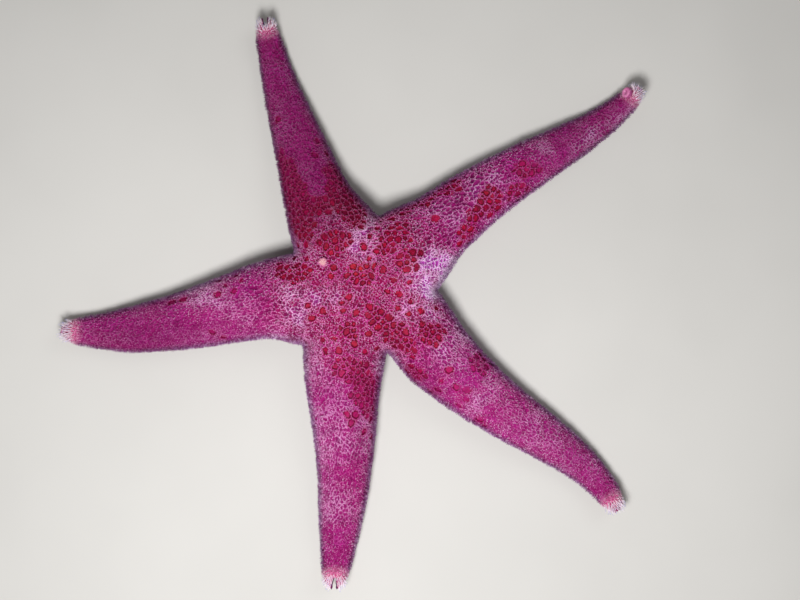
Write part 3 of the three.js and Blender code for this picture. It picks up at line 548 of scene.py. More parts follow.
# Patches of crimson cells on the back: x, y, half-length, half-width, turn, strength.
CRIMSON = [
    (-10.8, 14.2, 6.5, 2.3, -70, 1.0), (-2.5, 14.6, 5.2, 1.9, -65, 0.9), (-6.7, 13.0, 2.5, 1.0, 0, 0.7),
    (-3.75, 6.7, 2.2, 1.5, 0, 1.0), (0.4, 1.8, 2.0, 1.7, 0, 0.85), (-9.6, 1.8, 1.6, 1.3, 0, 0.8),
    (-12.5, 2.5, 1.0, 1.0, 0, 0.6), (-4.6, 1.8, 1.0, 1.0, 0, 0.3), (-2.1, -2.5, 0.9, 1.2, 0, 0.35),
    (-1.7, -7.3, 1.6, 1.2, 0, 0.6), (5.4, -7.5, 5.0, 1.4, -45, 1.0), (11.7, -7.9, 2.0, 1.5, 0, 0.7),
    (8.7, -14.6, 2.2, 1.2, 0, 0.45), (12.1, -17.5, 1.3, 1.0, 0, 0.3), (14.2, -15.0, 1.2, 1.2, 0, 0.25),
    (20.0, -12.9, 1.8, 1.4, 0, 0.5), (16.7, -18.3, 1.2, 2.0, 0, 0.35), (19.8, -22.7, 1.4, 1.1, 0, 0.35),
    (-1.3, -13.8, 3.0, 1.8, 0, 0.6), (1.2, -17.5, 2.2, 2.6, 0, 0.75), (2.0, -20.4, 1.5, 1.8, 0, 0.75),
    (-1.3, -21.7, 1.2, 1.0, 0, 0.4), (2.0, -24.2, 1.8, 1.5, 0, 0.15), (8.3, 13.3, 5.5, 1.2, 25, 0.85),
    (14.6, 16.2, 1.6, 1.4, 0, 0.7), (5.5, 7.5, 3.2, 1.3, 50, 0.8), (7.9, 3.8, 1.6, 1.8, 0, 0.6),
    (3.8, 2.5, 1.2, 1.2, 0, 0.35), (12.5, 11.1, 1.1, 1.0, 0, 0.25), (21.7, 13.7, 2.0, 1.8, 0, 0.8),
    (18.3, 10.0, 3.0, 1.2, 65, 0.5), (26.2, 15.4, 2.0, 1.2, 0, 0.45), (27.5, 19.2, 2.0, 1.5, 0, 0.6),
    (29.6, 15.8, 1.5, 1.0, 0, 0.25), (-21.3, 0.4, 2.5, 2.2, 0, 0.25), (-30.4, -2.5, 2.2, 1.7, 0, 0.2),
    (-23.3, -7.9, 1.2, 1.2, 0, 0.2), (-6.7, 22.7, 1.5, 1.2, 0, 0.25), (-14.6, 27.5, 1.5, 1.5, 0, 0.15),
]
# Pale lilac patches, the same way; the first row, at the armpit between arms 2 and 5, is pale skin whitened further as
# a painted highlight.
LILAC_AND_HIGHLIGHT = [
    (12.9, 1.6, 3.8, 3.2, 0, 1.3), (0.4, 7.5, 2.0, 3.2, 0, 0.6), (-10.4, -3.3, 2.2, 3.0, 0, 0.5),
    (-5.4, -1.7, 3.0, 1.5, 0, 0.5), (9.2, -4.2, 3.0, 1.8, 0, 0.5), (14.9, -10.1, 3.1, 3.0, 0, 0.45),
    (20.0, -18.3, 3.0, 2.5, 0, 0.28), (30.8, -25.3, 8.0, 3.0, -40, 0.2), (-8.3, -13.3, 2.0, 4.0, 0, 0.25), (-3.6, 12.4, 1.9, 2.1, 0, 0.4),
    (-3.3, -24.2, 5.0, 6.0, 0, 0.24), (-5.0, -36.7, 4.0, 3.0, 0, 0.26), (22.5, 17.5, 1.8, 1.6, 0, 0.5),
    (15.4, 11.7, 3.0, 2.0, 0, 0.35), (20.0, 15.6, 4.0, 2.4, 30, 0.3), (30.8, 23.3, 1.5, 1.2, 0, 0.3), (40.0, 25.0, 6.0, 1.6, 38, 0.38),
    (-25.4, -1.5, 3.5, 2.3, 0, 0.36), (-18.3, -3.6, 3.0, 1.9, 0, 0.26),
]


def patches(table, P, rim=0.6):
    best = np.zeros(len(P))
    for x, y, a, b, turn, strength in table:
        t = math.radians(turn)
        dx, dy = P[:, 0] - x, P[:, 1] - y
        r = np.hypot((dx * math.cos(t) + dy * math.sin(t)) / a, (dy * math.cos(t) - dx * math.sin(t)) / b)
        best = np.maximum(best, strength * smooth((1.1 + rim / 2 - r) / rim))
    return best


on_back = smooth((102 - np.abs(W.turn)) / 22)
crimson = patches(CRIMSON, P + 0.5 * np.stack([noise(P, 1.6, 3), noise(P, 1.6, 4), 0 * P[:, 0]], -1)) * on_back
lilac_and_highlight = patches(LILAC_AND_HIGHLIGHT, P + 0.9 * np.stack([noise(P, 2.2, 5), noise(P, 2.2, 6), 0 * P[:, 0]], -1), 1.3) * on_back
lilac_and_highlight = np.clip(lilac_and_highlight * (0.75 + 0.5 * noise(P, 1.3, 7)) + 0.1 * noise(P, 2.5, 9), 0, 1)
under = smooth((np.abs(W.turn) - 108) / 22)

# --------------------------------------------------------------- cells of the skin
# Seeds with a spacing that follows the place: close on the disc, wider and longer along
# the arms. In the crimson patches round crimson cells lie among them.

CELL, CELL_ARM, CELL_END, CELL_UNDER = 0.41, 0.48, 0.42, 0.6
CLOSER = 0.19  # how far the crimson cells spread into one another
JOINED = 0.12  # share of the plain cells that open into a neighbour
FAINT = 0.3  # share of the ridges that are low and dim, so that the others seem to wind
LONG = 0.68  # width of a cell over its length, on the arms
ROUND_CELLS = [(0.4, 0.66, 0.1), (0.3, 0.42, 0.45), (0.24, 0.3, 0.6)]  # radii of crimson cells, in turn, and where
calm = np.array([0.95, 0.95, 1.0, 0.68, 0.8])[W.k] * smooth((W.s - np.array([10, 26, 12, 8, 10])[W.k]) / 14)  # finer, fainter net on the outer arms
apart = mix(CELL, CELL_ARM, smooth((W.s - 7) / 10)) * (1 - 0.24 * calm)
apart = mix(apart, CELL_END, smooth((2.7 - W.to_end) / 1.5))
apart = mix(apart, CELL_UNDER, under) * (1 + 0.16 * noise(P, 1.5, 8))
squeeze = mix(1.0, LONG, smooth((W.s - 8) / 8))
# The puckered skin between arms 1 and 2: cells drawn out across the notch.
pucker = np.exp(-(((P[:, 0] - 1.8) / 2.3) ** 2) - ((P[:, 1] - 8.1) / 2.2) ** 2) * on_back
along = W.T.copy()
along = mix(along, np.array([0.97, 0.22, 0.0]), smooth((pucker - 0.3) / 0.2)[:, None])
along /= np.linalg.norm(along, axis=1, keepdims=True)
squeeze = mix(squeeze, 0.42, smooth((pucker - 0.3) / 0.3))
apart *= 1 + 0.15 * pucker

tree = KDTree(len(P))
for j, p in enumerate(P):
    tree.insert(p, j)
tree.balance()
alive = np.ones(len(P), bool)
seeds = []
for j in rng.permutation(len(P)):
    if not alive[j]:
        continue
    seeds.append(j)
    r, k2, t, p = apart[j], 1 - squeeze[j] ** 2, along[j], P[j]
    near = np.array([n[1] for n in tree.find_range(p, r / squeeze[j])])
    d = P[near] - p
    alive[near[(d**2).sum(1) - k2 * (d @ t) ** 2 < r * r]] = False
seeds = np.array(seeds)
SP, ST, SK = P[seeds], along[seeds], 1 - squeeze[seeds] ** 2
n_seeds = len(seeds)

chance = rng.random(n_seeds)
seed_red = 0.9 * smooth((crimson[seeds] - 0.1) / 0.5)

def turned_about(V, axis, angle):
    """V turned about axis, row by row."""
    c, s = np.cos(angle)[:, None], np.sin(angle)[:, None]
    return V * c + np.cross(axis, V) * s + axis * (axis * V).sum(1)[:, None] * (1 - c)


seed_tree = KDTree(n_seeds)
for j, p in enumerate(SP):
    seed_tree.insert(p, j)
seed_tree.balance()
# Some plain cells open into a neighbour, so that the pits wind and run together.
family = np.arange(n_seeds)
parent = np.zeros(n_seeds, bool)
# Crimson cells: big ones first, then smaller ones in the gaps of the patches. Single ones
# are strewn over the disc and the arms' roots.
strewn = 0.17 * smooth((20 - np.hypot(P[:, 0], P[:, 1])) / 10) * on_back * (1 - lilac_and_highlight) * (0.6 + 0.7 * noise(P, 3.0, 14))
want = np.maximum(crimson * (0.8 + 0.5 * noise(P, 1.3, 61)), strewn)
RJ, RR = np.zeros(0, int), np.zeros(0)
for low, high, least in ROUND_CELLS:
    for j in rng.permutation(np.nonzero(want > least)[0]):
        r = mix(low, high, rng.random()) * mix(0.75, 1.0, want[j])
        near = RJ[np.abs(P[RJ, 0] - P[j, 0]) < 3.2], RR[np.abs(P[RJ, 0] - P[j, 0]) < 3.2]
        room = r + mix(1.3, 0.0, smooth(want[j] / 0.6))
        if not len(near[0]) or (((P[near[0]] - P[j]) ** 2).sum(1) > (room + near[1]) ** 2).all():
            RJ, RR = np.append(RJ, j), np.append(RR, r)
RP, RT = P[RJ], turned_about(along[RJ], N[RJ], rng.normal(0, 0.6, len(RJ)))
round_tree = KDTree(len(RJ))
for j, p in enumerate(RP):
    round_tree.insert(p, j)
round_tree.balance()
luck_of = np.concatenate([chance, rng.random(len(RJ))])
at = np.concatenate([SP, RP])
near_middle = np.exp(-(((at[:, 0] + 0.1) / 1.1) ** 2) - ((at[:, 1] - 2.6) / 1.1) ** 2)
ember_of = np.concatenate([0 * chance, 0.3 * rng.random(len(RJ)) ** 4]) + 0.95 * near_middle
ember_of = np.clip(ember_of, 0, 1)
red_of = np.concatenate([seed_red, mix(0.55, 1.0, rng.random(len(RJ)) ** 0.6)])
opens = (rng.random(n_seeds) < JOINED) & (under[seeds] < 0.5)
for j in np.nonzero(opens)[0]:
    near = [n[1] for n in seed_tree.find_n(SP[j], 4)[1:]]
    near = [m for m in near if family[m] == m and not parent[m]]
    if near and not parent[j]:
        d = SP[near] - SP[j]
        best = near[int(np.argmin((d**2).sum(1) - 0.6 * (d @ ST[j]) ** 2))]
        family[j] = best
        parent[best] = True


def cells(P):
    """Nearest seed, and distance to the border with the next cell."""
    wob = 0.05 * np.stack([noise(P, 0.45, 11), noise(P, 0.45, 12), noise(P, 0.45, 13)], -1)
    Q = P + wob
    near = np.array([[n[1] for n in seed_tree.find_n(q, 9)] for q in Q])
    d = Q[:, None] - SP[near]
    D = (d**2).sum(2) - SK[near] * (d * ST[near]).sum(2) ** 2
    rows = np.arange(len(P))
    a = near[rows, D.argmin(1)]
    other = np.where(family[near] == family[a][:, None], np.inf, D)
    at = other.argmin(1)
    b = near[rows, at]
    # The border is measured from whichever of the family lies nearest.
    gap = SP[a] - SP[b]
    g = np.sqrt((gap**2).sum(1) - SK[a] * (gap * ST[a]).sum(1) ** 2)
    e = (other[rows, at] - D.min(1)) / (2 * np.maximum(g, 0.2))
    pair = np.sort(np.stack([family[a], family[b]], -1), 1)
    dice = 0.5 + 0.5 * lattice(pair[:, 0], pair[:, 1], 7, 41)
    low = (dice < FAINT) & (under[seeds][a] < 0.5)
    # The round crimson cells lie over the others.
    near = np.array([[n[1] for n in round_tree.find_n(q, 4)] for q in Q])
    d = Q[:, None] - RP[near]
    far = np.sqrt(np.maximum((d**2).sum(2) - 0.4 * (d * RT[near]).sum(2) ** 2, 0)) - RR[near] - CLOSER
    at = far.argmin(1)
    k, far1 = near[rows, at], far[rows, at]
    far[rows, at] = np.inf
    between = (far.min(1) - far1) / 2  # where two of them meet, a thin ridge stands
    far = far1 + 0.13 * noise(Q, 0.4, 51)
    e = np.where(np.isfinite(e), e, 0.5)
    e = np.where(far < 0, np.minimum(-far, between), np.where(far < e, far, e))
    return np.where(far < 0, n_seeds + k, a), e, (low & (far > e)).astype(float)


cell, edge, faint = cells(P)
red, ember, luck = red_of[cell], ember_of[cell], luck_of[cell]
# The round plate near the end of arm 2 lies in a bare, pale swelling.
halo = smooth((1.6 - np.linalg.norm(P - PLATE_MID, axis=1)) / 0.7)
tip = np.maximum(smooth((3.6 - W.to_end) / 3.2), 0.72 * halo)
# The walls of the parted ends, and the furrow's lining near the ends, are painted dark as painted shade in the gap.
cleft = np.maximum(parted, 0.55 * inner * smooth((2.0 - W.to_end) / 1.2))

# Relief: ridges between the cells, sunk pits in plain skin, flat floors in crimson cells.
ridge = 1 - smooth((edge - 0.03) / 0.09)
pit = smooth((edge - 0.05) / 0.1)
relief = 0.1 * ridge * (1 - 0.7 * faint) - mix(0.16, 0.14, red) * pit * (1 - 0.5 * under)
# Soft knobs on the floors of the crimson cells.
relief += 0.05 * noise(P, 0.28, 23) * smooth((red - 0.6) / 0.2) * pit
relief += 0.05 * noise(P, 1.7, 21) + 0.12 * noise(P, 6.0, 22) * on_back + 0.14 * halo
relief *= (1 - 0.85 * inner) * (1 - 0.5 * tip)
# Plates across the roof of each furrow, in pairs, where the tube feet stand between.
relief += 0.07 * np.cos(2 * np.pi * fs / 1.45) * in_furrow * (above_sole > 0.6 * fur_deep)
P = P + N * relief[:, None]
N = vertex_normals(P, F)

# ------------------------------------------------------------------------ materials


def tint(r, g, b):
    f = lambda c: c / 12.92 if c <= 0.04045 else ((c + 0.055) / 1.055) ** 2.4
    return (f(r / 255), f(g / 255), f(b / 255), 1.0)


class Graph:
    """A small help for writing shader nodes."""

    def __init__(self, tree):
        self.tree = tree

    def add(self, kind, inputs=None, **settings):
        n = self.tree.nodes.new(kind)
        for key, v in settings.items():
            setattr(n, key, v)
        for key, v in (inputs or {}).items():
            self.put(n.inputs[key], v)
        return n

    def put(self, socket, v):
        if isinstance(v, bpy.types.NodeSocket):
            self.tree.links.new(v, socket)
        else:
            socket.default_value = v

    def attribute(self, name):
        return self.add("ShaderNodeAttribute", attribute_name=name).outputs["Fac"]

    def mix(self, t, a, b, blend="MIX"):
        n = self.add("ShaderNodeMix", data_type="RGBA", blend_type=blend, clamp_factor=True)
        self.put(n.inputs[0], t)
        self.put(n.inputs[6], a)
        self.put(n.inputs[7], b)
        return n.outputs[2]

    def math(self, op, a, b=0.5, c=None, clamp=False):
        n = self.add("ShaderNodeMath", operation=op, use_clamp=clamp)
        self.put(n.inputs[0], a)
        self.put(n.inputs[1], b)
        if c is not None:
            self.put(n.inputs[2], c)
        return n.outputs[0]

    def span(self, v, a, b, to_a=0.0, to_b=1.0):
        """v from a..b onto to_a..to_b, smoothly."""
        n = self.add("ShaderNodeMapRange", interpolation_type="SMOOTHSTEP")
        for i, x in enumerate((v, a, b, to_a, to_b)):
            self.put(n.inputs[i], x)
        return n.outputs[0]

    def noise(self, size, detail=3.0, rough=0.55, where=None):
        """Noise from 0 to 1 with bumps of about size metres, in the body's own space."""
        n = self.add("ShaderNodeTexNoise", {"Scale": 1 / size, "Detail": detail, "Roughness": rough})
        self.put(n.inputs["Vector"], where or self.add("ShaderNodeTexCoord").outputs["Object"])
        return n.outputs["Fac"]


def material(name):
    m = bpy.data.materials.new(name)
    m.use_nodes = True
    m.node_tree.nodes.clear()
    g = Graph(m.node_tree)
    out = g.add("ShaderNodeOutputMaterial")
    shader = g.add("ShaderNodeBsdfPrincipled")
    g.tree.links.new(shader.outputs[0], out.inputs["Surface"])
    g.shader = shader
    g.material = m
    return g


# The markings, shared by the skin and the coat over it, with painted shade and a painted highlight worked into them.
# Deep is the floor of a cell, Net the ridge between cells, Point the end of a spinelet.
marks_and_painted_light = bpy.data.node_groups.new("star_marks_and_painted_light", "ShaderNodeTree")
for name in ("Deep", "Net", "Point"):
    marks_and_painted_light.interface.new_socket(name, in_out="OUTPUT", socket_type="NodeSocketColor")
g = Graph(marks_and_painted_light)
red_, ember_, pale_, under_, tip_, luck_, flank_, blush_, dusk_ = (g.attribute(n) for n in ("red", "ember", "pale", "under", "tip", "luck", "flank", "blush", "dusk"))
calm_ = g.attribute("calm")
broad = g.span(g.noise(0.009, 2.0), 0.3, 0.7)
fine = g.span(g.noise(0.0014, 3.0), 0.3, 0.75)
deep = g.mix(luck_, tint(138, 14, 92), tint(100, 7, 68))
deep = g.mix(g.math("MULTIPLY", blush_, 0.8), deep, g.mix(luck_, tint(142, 2, 62), tint(98, 2, 46)))
# Pale lilac patches lighten all three marks; at the armpit between arms 2 and 5 this is a painted highlight.
deep = g.mix(g.math("MULTIPLY", pale_, pale_), deep, tint(156, 48, 146))
crim = g.mix(luck_, tint(172, 10, 58), tint(124, 5, 42))
crim = g.mix(ember_, crim, tint(192, 40, 36))
crim = g.mix(g.span(g.noise(0.0003, 3.0), 0.42, 0.62, 0.0, 0.6), crim, tint(78, 1, 26))
crim = g.mix(g.span(g.noise(0.00024, 2.0), 0.52, 0.66, 0.0, 0.5), crim, tint(188, 34, 84))
deep = g.mix(g.span(red_, 0.1, 0.75), deep, crim)
net = g.mix(broad, tint(176, 40, 138), tint(172, 34, 126))
net = g.mix(fine, net, tint(146, 16, 100))
net = g.mix(g.math("MULTIPLY", blush_, 0.5), net, tint(190, 64, 138))
deep = g.mix(g.math("MULTIPLY", calm_, 0.58), deep, net)
net = g.mix(pale_, net, tint(242, 184, 238))
# Over crimson cells the ridges go crimson, more so in the painted shade.
reddish = g.math("MULTIPLY", red_, g.math("MULTIPLY_ADD", dusk_, 0.45, 0.4))
net = g.mix(reddish, net, tint(150, 20, 72))
point = g.mix(broad, tint(238, 132, 208), tint(238, 118, 192))
point = g.mix(g.math("MULTIPLY", blush_, 0.8), point, tint(255, 184, 230))
point = g.mix(g.math("MULTIPLY", calm_, 0.36), point, net)
point = g.mix(pale_, point, tint(255, 240, 255))
point = g.mix(reddish, point, tint(206, 68, 126))
# On the flanks the net is darkened as painted shade, where the sides turn from the light; the points go lilac-grey,
# partly their own colour and partly the same painted shade.
net = g.mix(g.math("MULTIPLY", flank_, 0.8), net, tint(82, 18, 72))
point = g.mix(g.math("MULTIPLY", flank_, 0.82), point, tint(146, 98, 162))
deep = g.mix(under_, deep, tint(180, 74, 112))
net = g.mix(under_, net, tint(206, 122, 150))
point = g.mix(under_, point, tint(240, 204, 208))
deep = g.mix(tip_, deep, tint(182, 74, 122))
net = g.mix(tip_, net, tint(226, 136, 174))
point = g.mix(g.span(tip_, 0.05, 0.5), point, tint(246, 186, 214))
# Painted shade darkens all three marks towards dark purple.
out = g.add("NodeGroupOutput")
for name, v in (("Deep", deep), ("Net", net), ("Point", point)):
    g.put(out.inputs[name], g.mix(g.math("MULTIPLY", dusk_, 0.32), v, tint(70, 0, 40)))


def add_marks(g):
    n = g.add("ShaderNodeGroup")
    n.node_tree = marks_and_painted_light
    return [n.outputs[k] for k in ("Deep", "Net", "Point")]


g = material("star_skin")
deep, net, point = add_marks(g)
edge_ = g.attribute("edge")  # millimetres from the border between two cells
red_ = g.attribute("red")
inner_ = g.attribute("inner")
net = g.mix(g.math("MULTIPLY", g.attribute("faint"), 0.75), net, deep)
grain = g.noise(0.00022, 3.0, 0.6)
wavy = g.math("MULTIPLY_ADD", grain, 0.06, edge_)
colour = g.mix(g.span(wavy, 0.05, 0.13), net, deep)
rim = g.math("MULTIPLY", g.math("MULTIPLY", g.span(wavy, 0.08, 0.14), g.span(wavy, 0.32, 0.2)), g.span(red_, 0.5, 0.8))
colour = g.mix(g.math("MULTIPLY", rim, 0.85), colour, tint(78, 1, 24))
colour = g.mix(g.span(grain, 0.5, 0.8, 0.0, 0.25), colour, net)
colour = g.mix(inner_, colour, g.mix(g.noise(0.0008), tint(224, 160, 146), tint(206, 120, 120)))
# Painted shade: the gap walls at the arms' ends go dark purple.
colour = g.mix(g.attribute("cleft"), colour, tint(92, 28, 80))
g.put(g.shader.inputs["Base Color"], colour)
g.put(g.shader.inputs["Roughness"], g.span(grain, 0.2, 0.8, 0.38, 0.6))
g.shader.inputs["Specular IOR Level"].default_value = 0.06
bump = g.add("ShaderNodeBump", {"Strength": 0.55, "Distance": 0.00008})
g.put(bump.inputs["Height"], g.math("MULTIPLY_ADD", g.span(wavy, 0.05, 0.16), -1.0, grain))
g.put(g.shader.inputs["Normal"], bump.outputs[0])
SKIN = g.material

g = material("star_spinelets")
deep, net, point = add_marks(g)
rise_ = g.attribute("rise")
colour = g.mix(g.span(rise_, 0.15, 0.95), net, point)
colour = g.mix(g.math("MULTIPLY", g.attribute("faint"), 0.6), colour, deep)
own = g.attribute("own")
colour = g.mix(g.span(own, 0.0, 0.5, 0.7, 0.0), colour, net)
# Painted highlight: the brightest spinelets go near white towards their tips, less in the painted shade and over
# crimson.
painted_highlight = g.math("MULTIPLY", g.span(own, 0.66, 0.92), g.span(rise_, 0.2, 0.9, 0.0, 0.75))
painted_highlight = g.math("MULTIPLY", painted_highlight, g.span(g.math("ADD", g.attribute("dusk"), g.attribute("red")), 0.0, 1.0, 1.0, 0.15))
colour = g.mix(painted_highlight, colour, tint(252, 214, 246))
tip_ = g.attribute("tip")
# The bristles of the arms' ends go from white to a bluish point.
colour = g.mix(g.math("MULTIPLY", g.span(tip_, 0.45, 0.92), g.span(rise_, 0.0, 0.5, 0.25, 0.85)), colour, tint(252, 244, 252))
colour = g.mix(g.math("MULTIPLY", g.math("MULTIPLY", g.span(rise_, 0.6, 1.0), g.span(tip_, 0.6, 0.95)), g.span(own, 0.25, 0.7)), colour, tint(138, 146, 220))
g.put(g.shader.inputs["Base Color"], colour)
g.put(g.shader.inputs["Roughness"], g.span(g.noise(0.0001), 0.3, 0.7, 0.26, 0.42))
g.shader.inputs["Specular IOR Level"].default_value = 0.22
COAT_MAT = g.material

g = material("star_furrow_spines")
rise_ = g.attribute("rise")
own = g.attribute("own")
colour = g.mix(rise_, tint(214, 132, 140), tint(246, 226, 212))
colour = g.mix(g.span(own, 0, 1, 0, 0.5), colour, tint(228, 170, 170))
g.put(g.shader.inputs["Base Color"], colour)
g.put(g.shader.inputs["Roughness"], g.span(g.noise(0.0002), 0.3, 0.7, 0.35, 0.55))
SPINE_MAT = g.material

g = material("star_tube_feet")
rise_ = g.attribute("rise")
own = g.attribute("own")
bands = g.span(g.math("SINE", g.math("MULTIPLY", rise_, 58.0)), -0.4, 1.0)
colour = g.mix(g.span(rise_, 0.0, 0.8), tint(226, 168, 140), tint(240, 212, 176))
colour = g.mix(g.math("MULTIPLY", bands, 0.25), colour, tint(206, 140, 118))
colour = g.mix(g.span(own, 0, 1, 0, 0.35), colour, tint(236, 190, 158))
colour = g.mix(g.span(rise_, 0.84, 0.95), colour, tint(250, 236, 212))
g.put(g.shader.inputs["Base Color"], colour)
g.put(g.shader.inputs["Roughness"], g.span(g.noise(0.0003), 0.3, 0.7, 0.22, 0.42))
bump = g.add("ShaderNodeBump", {"Strength": 0.4, "Distance": 0.00003})
g.put(bump.inputs["Height"], bands)
g.put(g.shader.inputs["Normal"], bump.outputs[0])
FOOT_MAT = g.material

g = material("star_jaw")
n1 = g.noise(0.0006, 4.0)
colour = g.mix(g.span(n1, 0.3, 0.7), tint(214, 140, 146), tint(238, 198, 188))
g.put(g.shader.inputs["Base Color"], colour)
g.put(g.shader.inputs["Roughness"], g.span(n1, 0.3, 0.7, 0.4, 0.6))
bump = g.add("ShaderNodeBump", {"Strength": 0.5, "Distance": 0.0001})
g.put(bump.inputs["Height"], g.noise(0.00025, 4.0))
g.put(g.shader.inputs["Normal"], bump.outputs[0])
JAW_MAT = g.material

g = material("star_mouth")
rise_ = g.attribute("rise")
colour = g.mix(rise_, tint(150, 62, 70), tint(218, 142, 132))
colour = g.mix(g.span(g.noise(0.0005, 4.0), 0.4, 0.7, 0, 0.5), colour, tint(188, 92, 92))
g.put(g.shader.inputs["Base Color"], colour)
g.put(g.shader.inputs["Roughness"], g.span(g.noise(0.0004), 0.3, 0.7, 0.2, 0.4))
MOUTH_MAT = g.material

g = material("star_sieve_plate")
rise_ = g.attribute("rise")
n1 = g.noise(0.0003, 3.0)
colour = g.mix(rise_, tint(186, 100, 130), tint(236, 196, 192))
colour = g.mix(g.span(n1, 0.5, 0.8, 0, 0.5), colour, tint(214, 150, 166))
colour = g.mix(g.math("MULTIPLY", g.attribute("rim"), 0.85), colour, tint(190, 84, 140))
g.put(g.shader.inputs["Base Color"], colour)
g.put(g.shader.inputs["Roughness"], g.span(n1, 0.3, 0.7, 0.5, 0.75))
SIEVE_MAT = g.material

g = material("star_end_plate")
rise_ = g.attribute("rise")
n1 = g.noise(0.0004, 3.0)
colour = g.mix(rise_, tint(158, 56, 118), tint(210, 116, 168))
colour = g.mix(g.span(n1, 0.45, 0.65, 0, 0.5), colour, tint(228, 164, 200))
colour = g.mix(g.span(g.noise(0.00018, 2.0), 0.55, 0.7, 0, 0.45), colour, tint(190, 92, 150))
g.put(g.shader.inputs["Base Color"], colour)
g.put(g.shader.inputs["Roughness"], g.span(n1, 0.3, 0.7, 0.35, 0.5))
END_MAT = g.material

g = material("floor_pale")
n1 = g.noise(0.05, 3.0)
g.put(g.shader.inputs["Base Color"], g.mix(g.span(n1, 0.3, 0.7), tint(200, 198, 194), tint(206, 204, 200)))
g.put(g.shader.inputs["Roughness"], g.span(n1, 0.3, 0.7, 0.7, 0.8))
FLOOR_MAT = g.material

# --------------------------------------------------------------------------- pieces


def finish_piece(ob, mat, slot, replaces=(), **values):
    me = ob.data
    me.materials.append(mat)
    me.polygons.foreach_set("use_smooth", np.ones(len(me.polygons), bool))
    for name, v in values.items():
        a = me.attributes.new(name, "FLOAT", "POINT")
        a.data.foreach_set("value", np.asarray(v, np.float32))
    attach(ob, "root")
    if replaces:
        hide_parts(*replaces)
    return ob


# The flanks, where the coat's brushes stand longer and the marks are darkened as painted shade.
flank = smooth((np.abs(W.turn) - 50) / 28) * smooth((126 - np.abs(W.turn)) / 26) * (1 - tip)
# Pale lilac skin, with the painted highlight at the armpit between arms 2 and 5; less over crimson cells.
pale = np.clip(1.35 * lilac_and_highlight * (1 - 0.6 * red), 0, 1)
blush = smooth((19 - np.hypot(P[:, 0], P[:, 1])) / 9) * on_back * (1 - tip)
calm *= 1 - pale
# Patches of painted shade on the lower side of arm 3, the right side of arm 4, the lower-left of arm 5's root and the
# lower disc: x, y, half-length, half-width, turn, strength.
PAINTED_SHADE_PATCHES = [
    (-31.0, -8.8, 13.0, 2.3, 4, 0.6), (-9.2, -8.6, 2.6, 2.6, 0, 0.5), (0.7, -22.0, 2.0, 10.0, 0, 0.5),
    (4.2, -10.2, 3.0, 2.6, 0, 0.5), (10.0, -16.6, 6.5, 2.2, -40, 0.6),
]
# Painted shade where the light falls off: arm 1 from near its root outward, the outer parts of the other arms, and the
# patches above; less on the ends and below.
dusk = np.where(W.k == ROUND.index(1), 1.2 * smooth((W.s - 5) / 9), np.where(W.k == ROUND.index(2), 0.85 * smooth((W.s - 29) / 14), np.where(W.k == ROUND.index(3), 0.6 * smooth((W.s - 22) / 16), 0.45 * smooth((W.s - 28) / 20))))
dusk = (dusk + patches(PAINTED_SHADE_PATCHES, P, 1.2) * on_back) * (1 - 0.6 * tip) * (1 - 0.7 * under)
skin = new_mesh("skin", P, [F])
finish_piece(
    skin, SKIN, "skin",
    ["disc", *(f"arm_{i}_{p}" for i in ARM for p in ("base", "middle", "outer", "tip"))],
    edge=edge, faint=faint, inner=close, red=red, ember=ember, pale=pale, under=under, tip=tip, luck=luck, flank=flank, blush=blush, dusk=dusk, calm=calm, cleft=cleft,
)

# The coat: knobs along the ridges, each with a small brush of spinelets; single ones below.
FIELDS = dict(edge=edge, faint=faint, red=red, ember=ember, pale=pale, under=under, tip=tip, luck=luck, flank=flank, blush=blush, dusk=dusk, calm=calm, inner=inner, s=W.s, to_end=W.to_end, left=W.left, parted=parted, plate=np.linalg.norm(P - PLATE_MID, axis=1))


def scatter(count):
    c = P[F]
    area = 0.5 * np.linalg.norm(np.cross(c[:, 2] - c[:, 0], c[:, 3] - c[:, 1]), axis=1)
    total = np.cumsum(area)
    f = np.searchsorted(total, rng.random(count) * total[-1])
    a, b = rng.random(count), rng.random(count)
    w = np.stack([(1 - a) * (1 - b), a * (1 - b), a * b, (1 - a) * b], -1)
    return F[f], w


SPACE_BACK, SPACE_FLANK, SPACE_UNDER, SPACE_END, SPACE_BRISTLE = 0.19, 0.2, 0.19, 0.15, 0.2
TUFT_BACK, TUFT_FLANK = 4, 3  # spinelets on one knob of the net
corners, weights = scatter(560_000)
C = {k: (v[corners] * weights).sum(1) for k, v in FIELDS.items()}
CP = (P[corners] * weights[..., None]).sum(1)
CN = (N[corners] * weights[..., None]).sum(1)
CN /= np.linalg.norm(CN, axis=1, keepdims=True)
lead = corners[:, 0]
keep = (C["edge"] < 0.3 + 0.25 * np.maximum(C["under"], C["tip"])) & (C["inner"] < 0.35) & (C["parted"] < 0.4) & (C["plate"] > 1.02)
CP, CN, lead = CP[keep], CN[keep], lead[keep]
C = {k: v[keep] for k, v in C.items()}
_, C["edge"], C["faint"] = cells(CP)  # afresh, finer than the skin's mesh
C["faint"] *= 1 - C["tip"]
keep = C["edge"] < mix(mix(0.085, 0.07, C["red"]) * (1 - 0.4 * C["faint"]), 0.4, np.maximum(C["under"], C["tip"]))
CP, CN, lead = CP[keep], CN[keep], lead[keep]
C = {k: v[keep] for k, v in C.items()}
gap = mix(SPACE_BACK, SPACE_FLANK, C["flank"]) + 0.06 * smooth((C["red"] - 0.4) / 0.5)
gap = mix(gap, SPACE_UNDER, C["under"])
gap = mix(gap, SPACE_END, C["tip"])
gap = mix(gap, SPACE_BRISTLE, smooth((2.0 - C["to_end"]) / 0.8))
tree = KDTree(len(CP))
for j, p in enumerate(CP):
    tree.insert(p, j)
tree.balance()
alive = np.ones(len(CP), bool)
chosen = []
for j in range(len(CP)):
    if alive[j]:
        chosen.append(j)
        for n in tree.find_range(CP[j], gap[j]):
            alive[n[1]] = False
chosen = np.array(chosen)
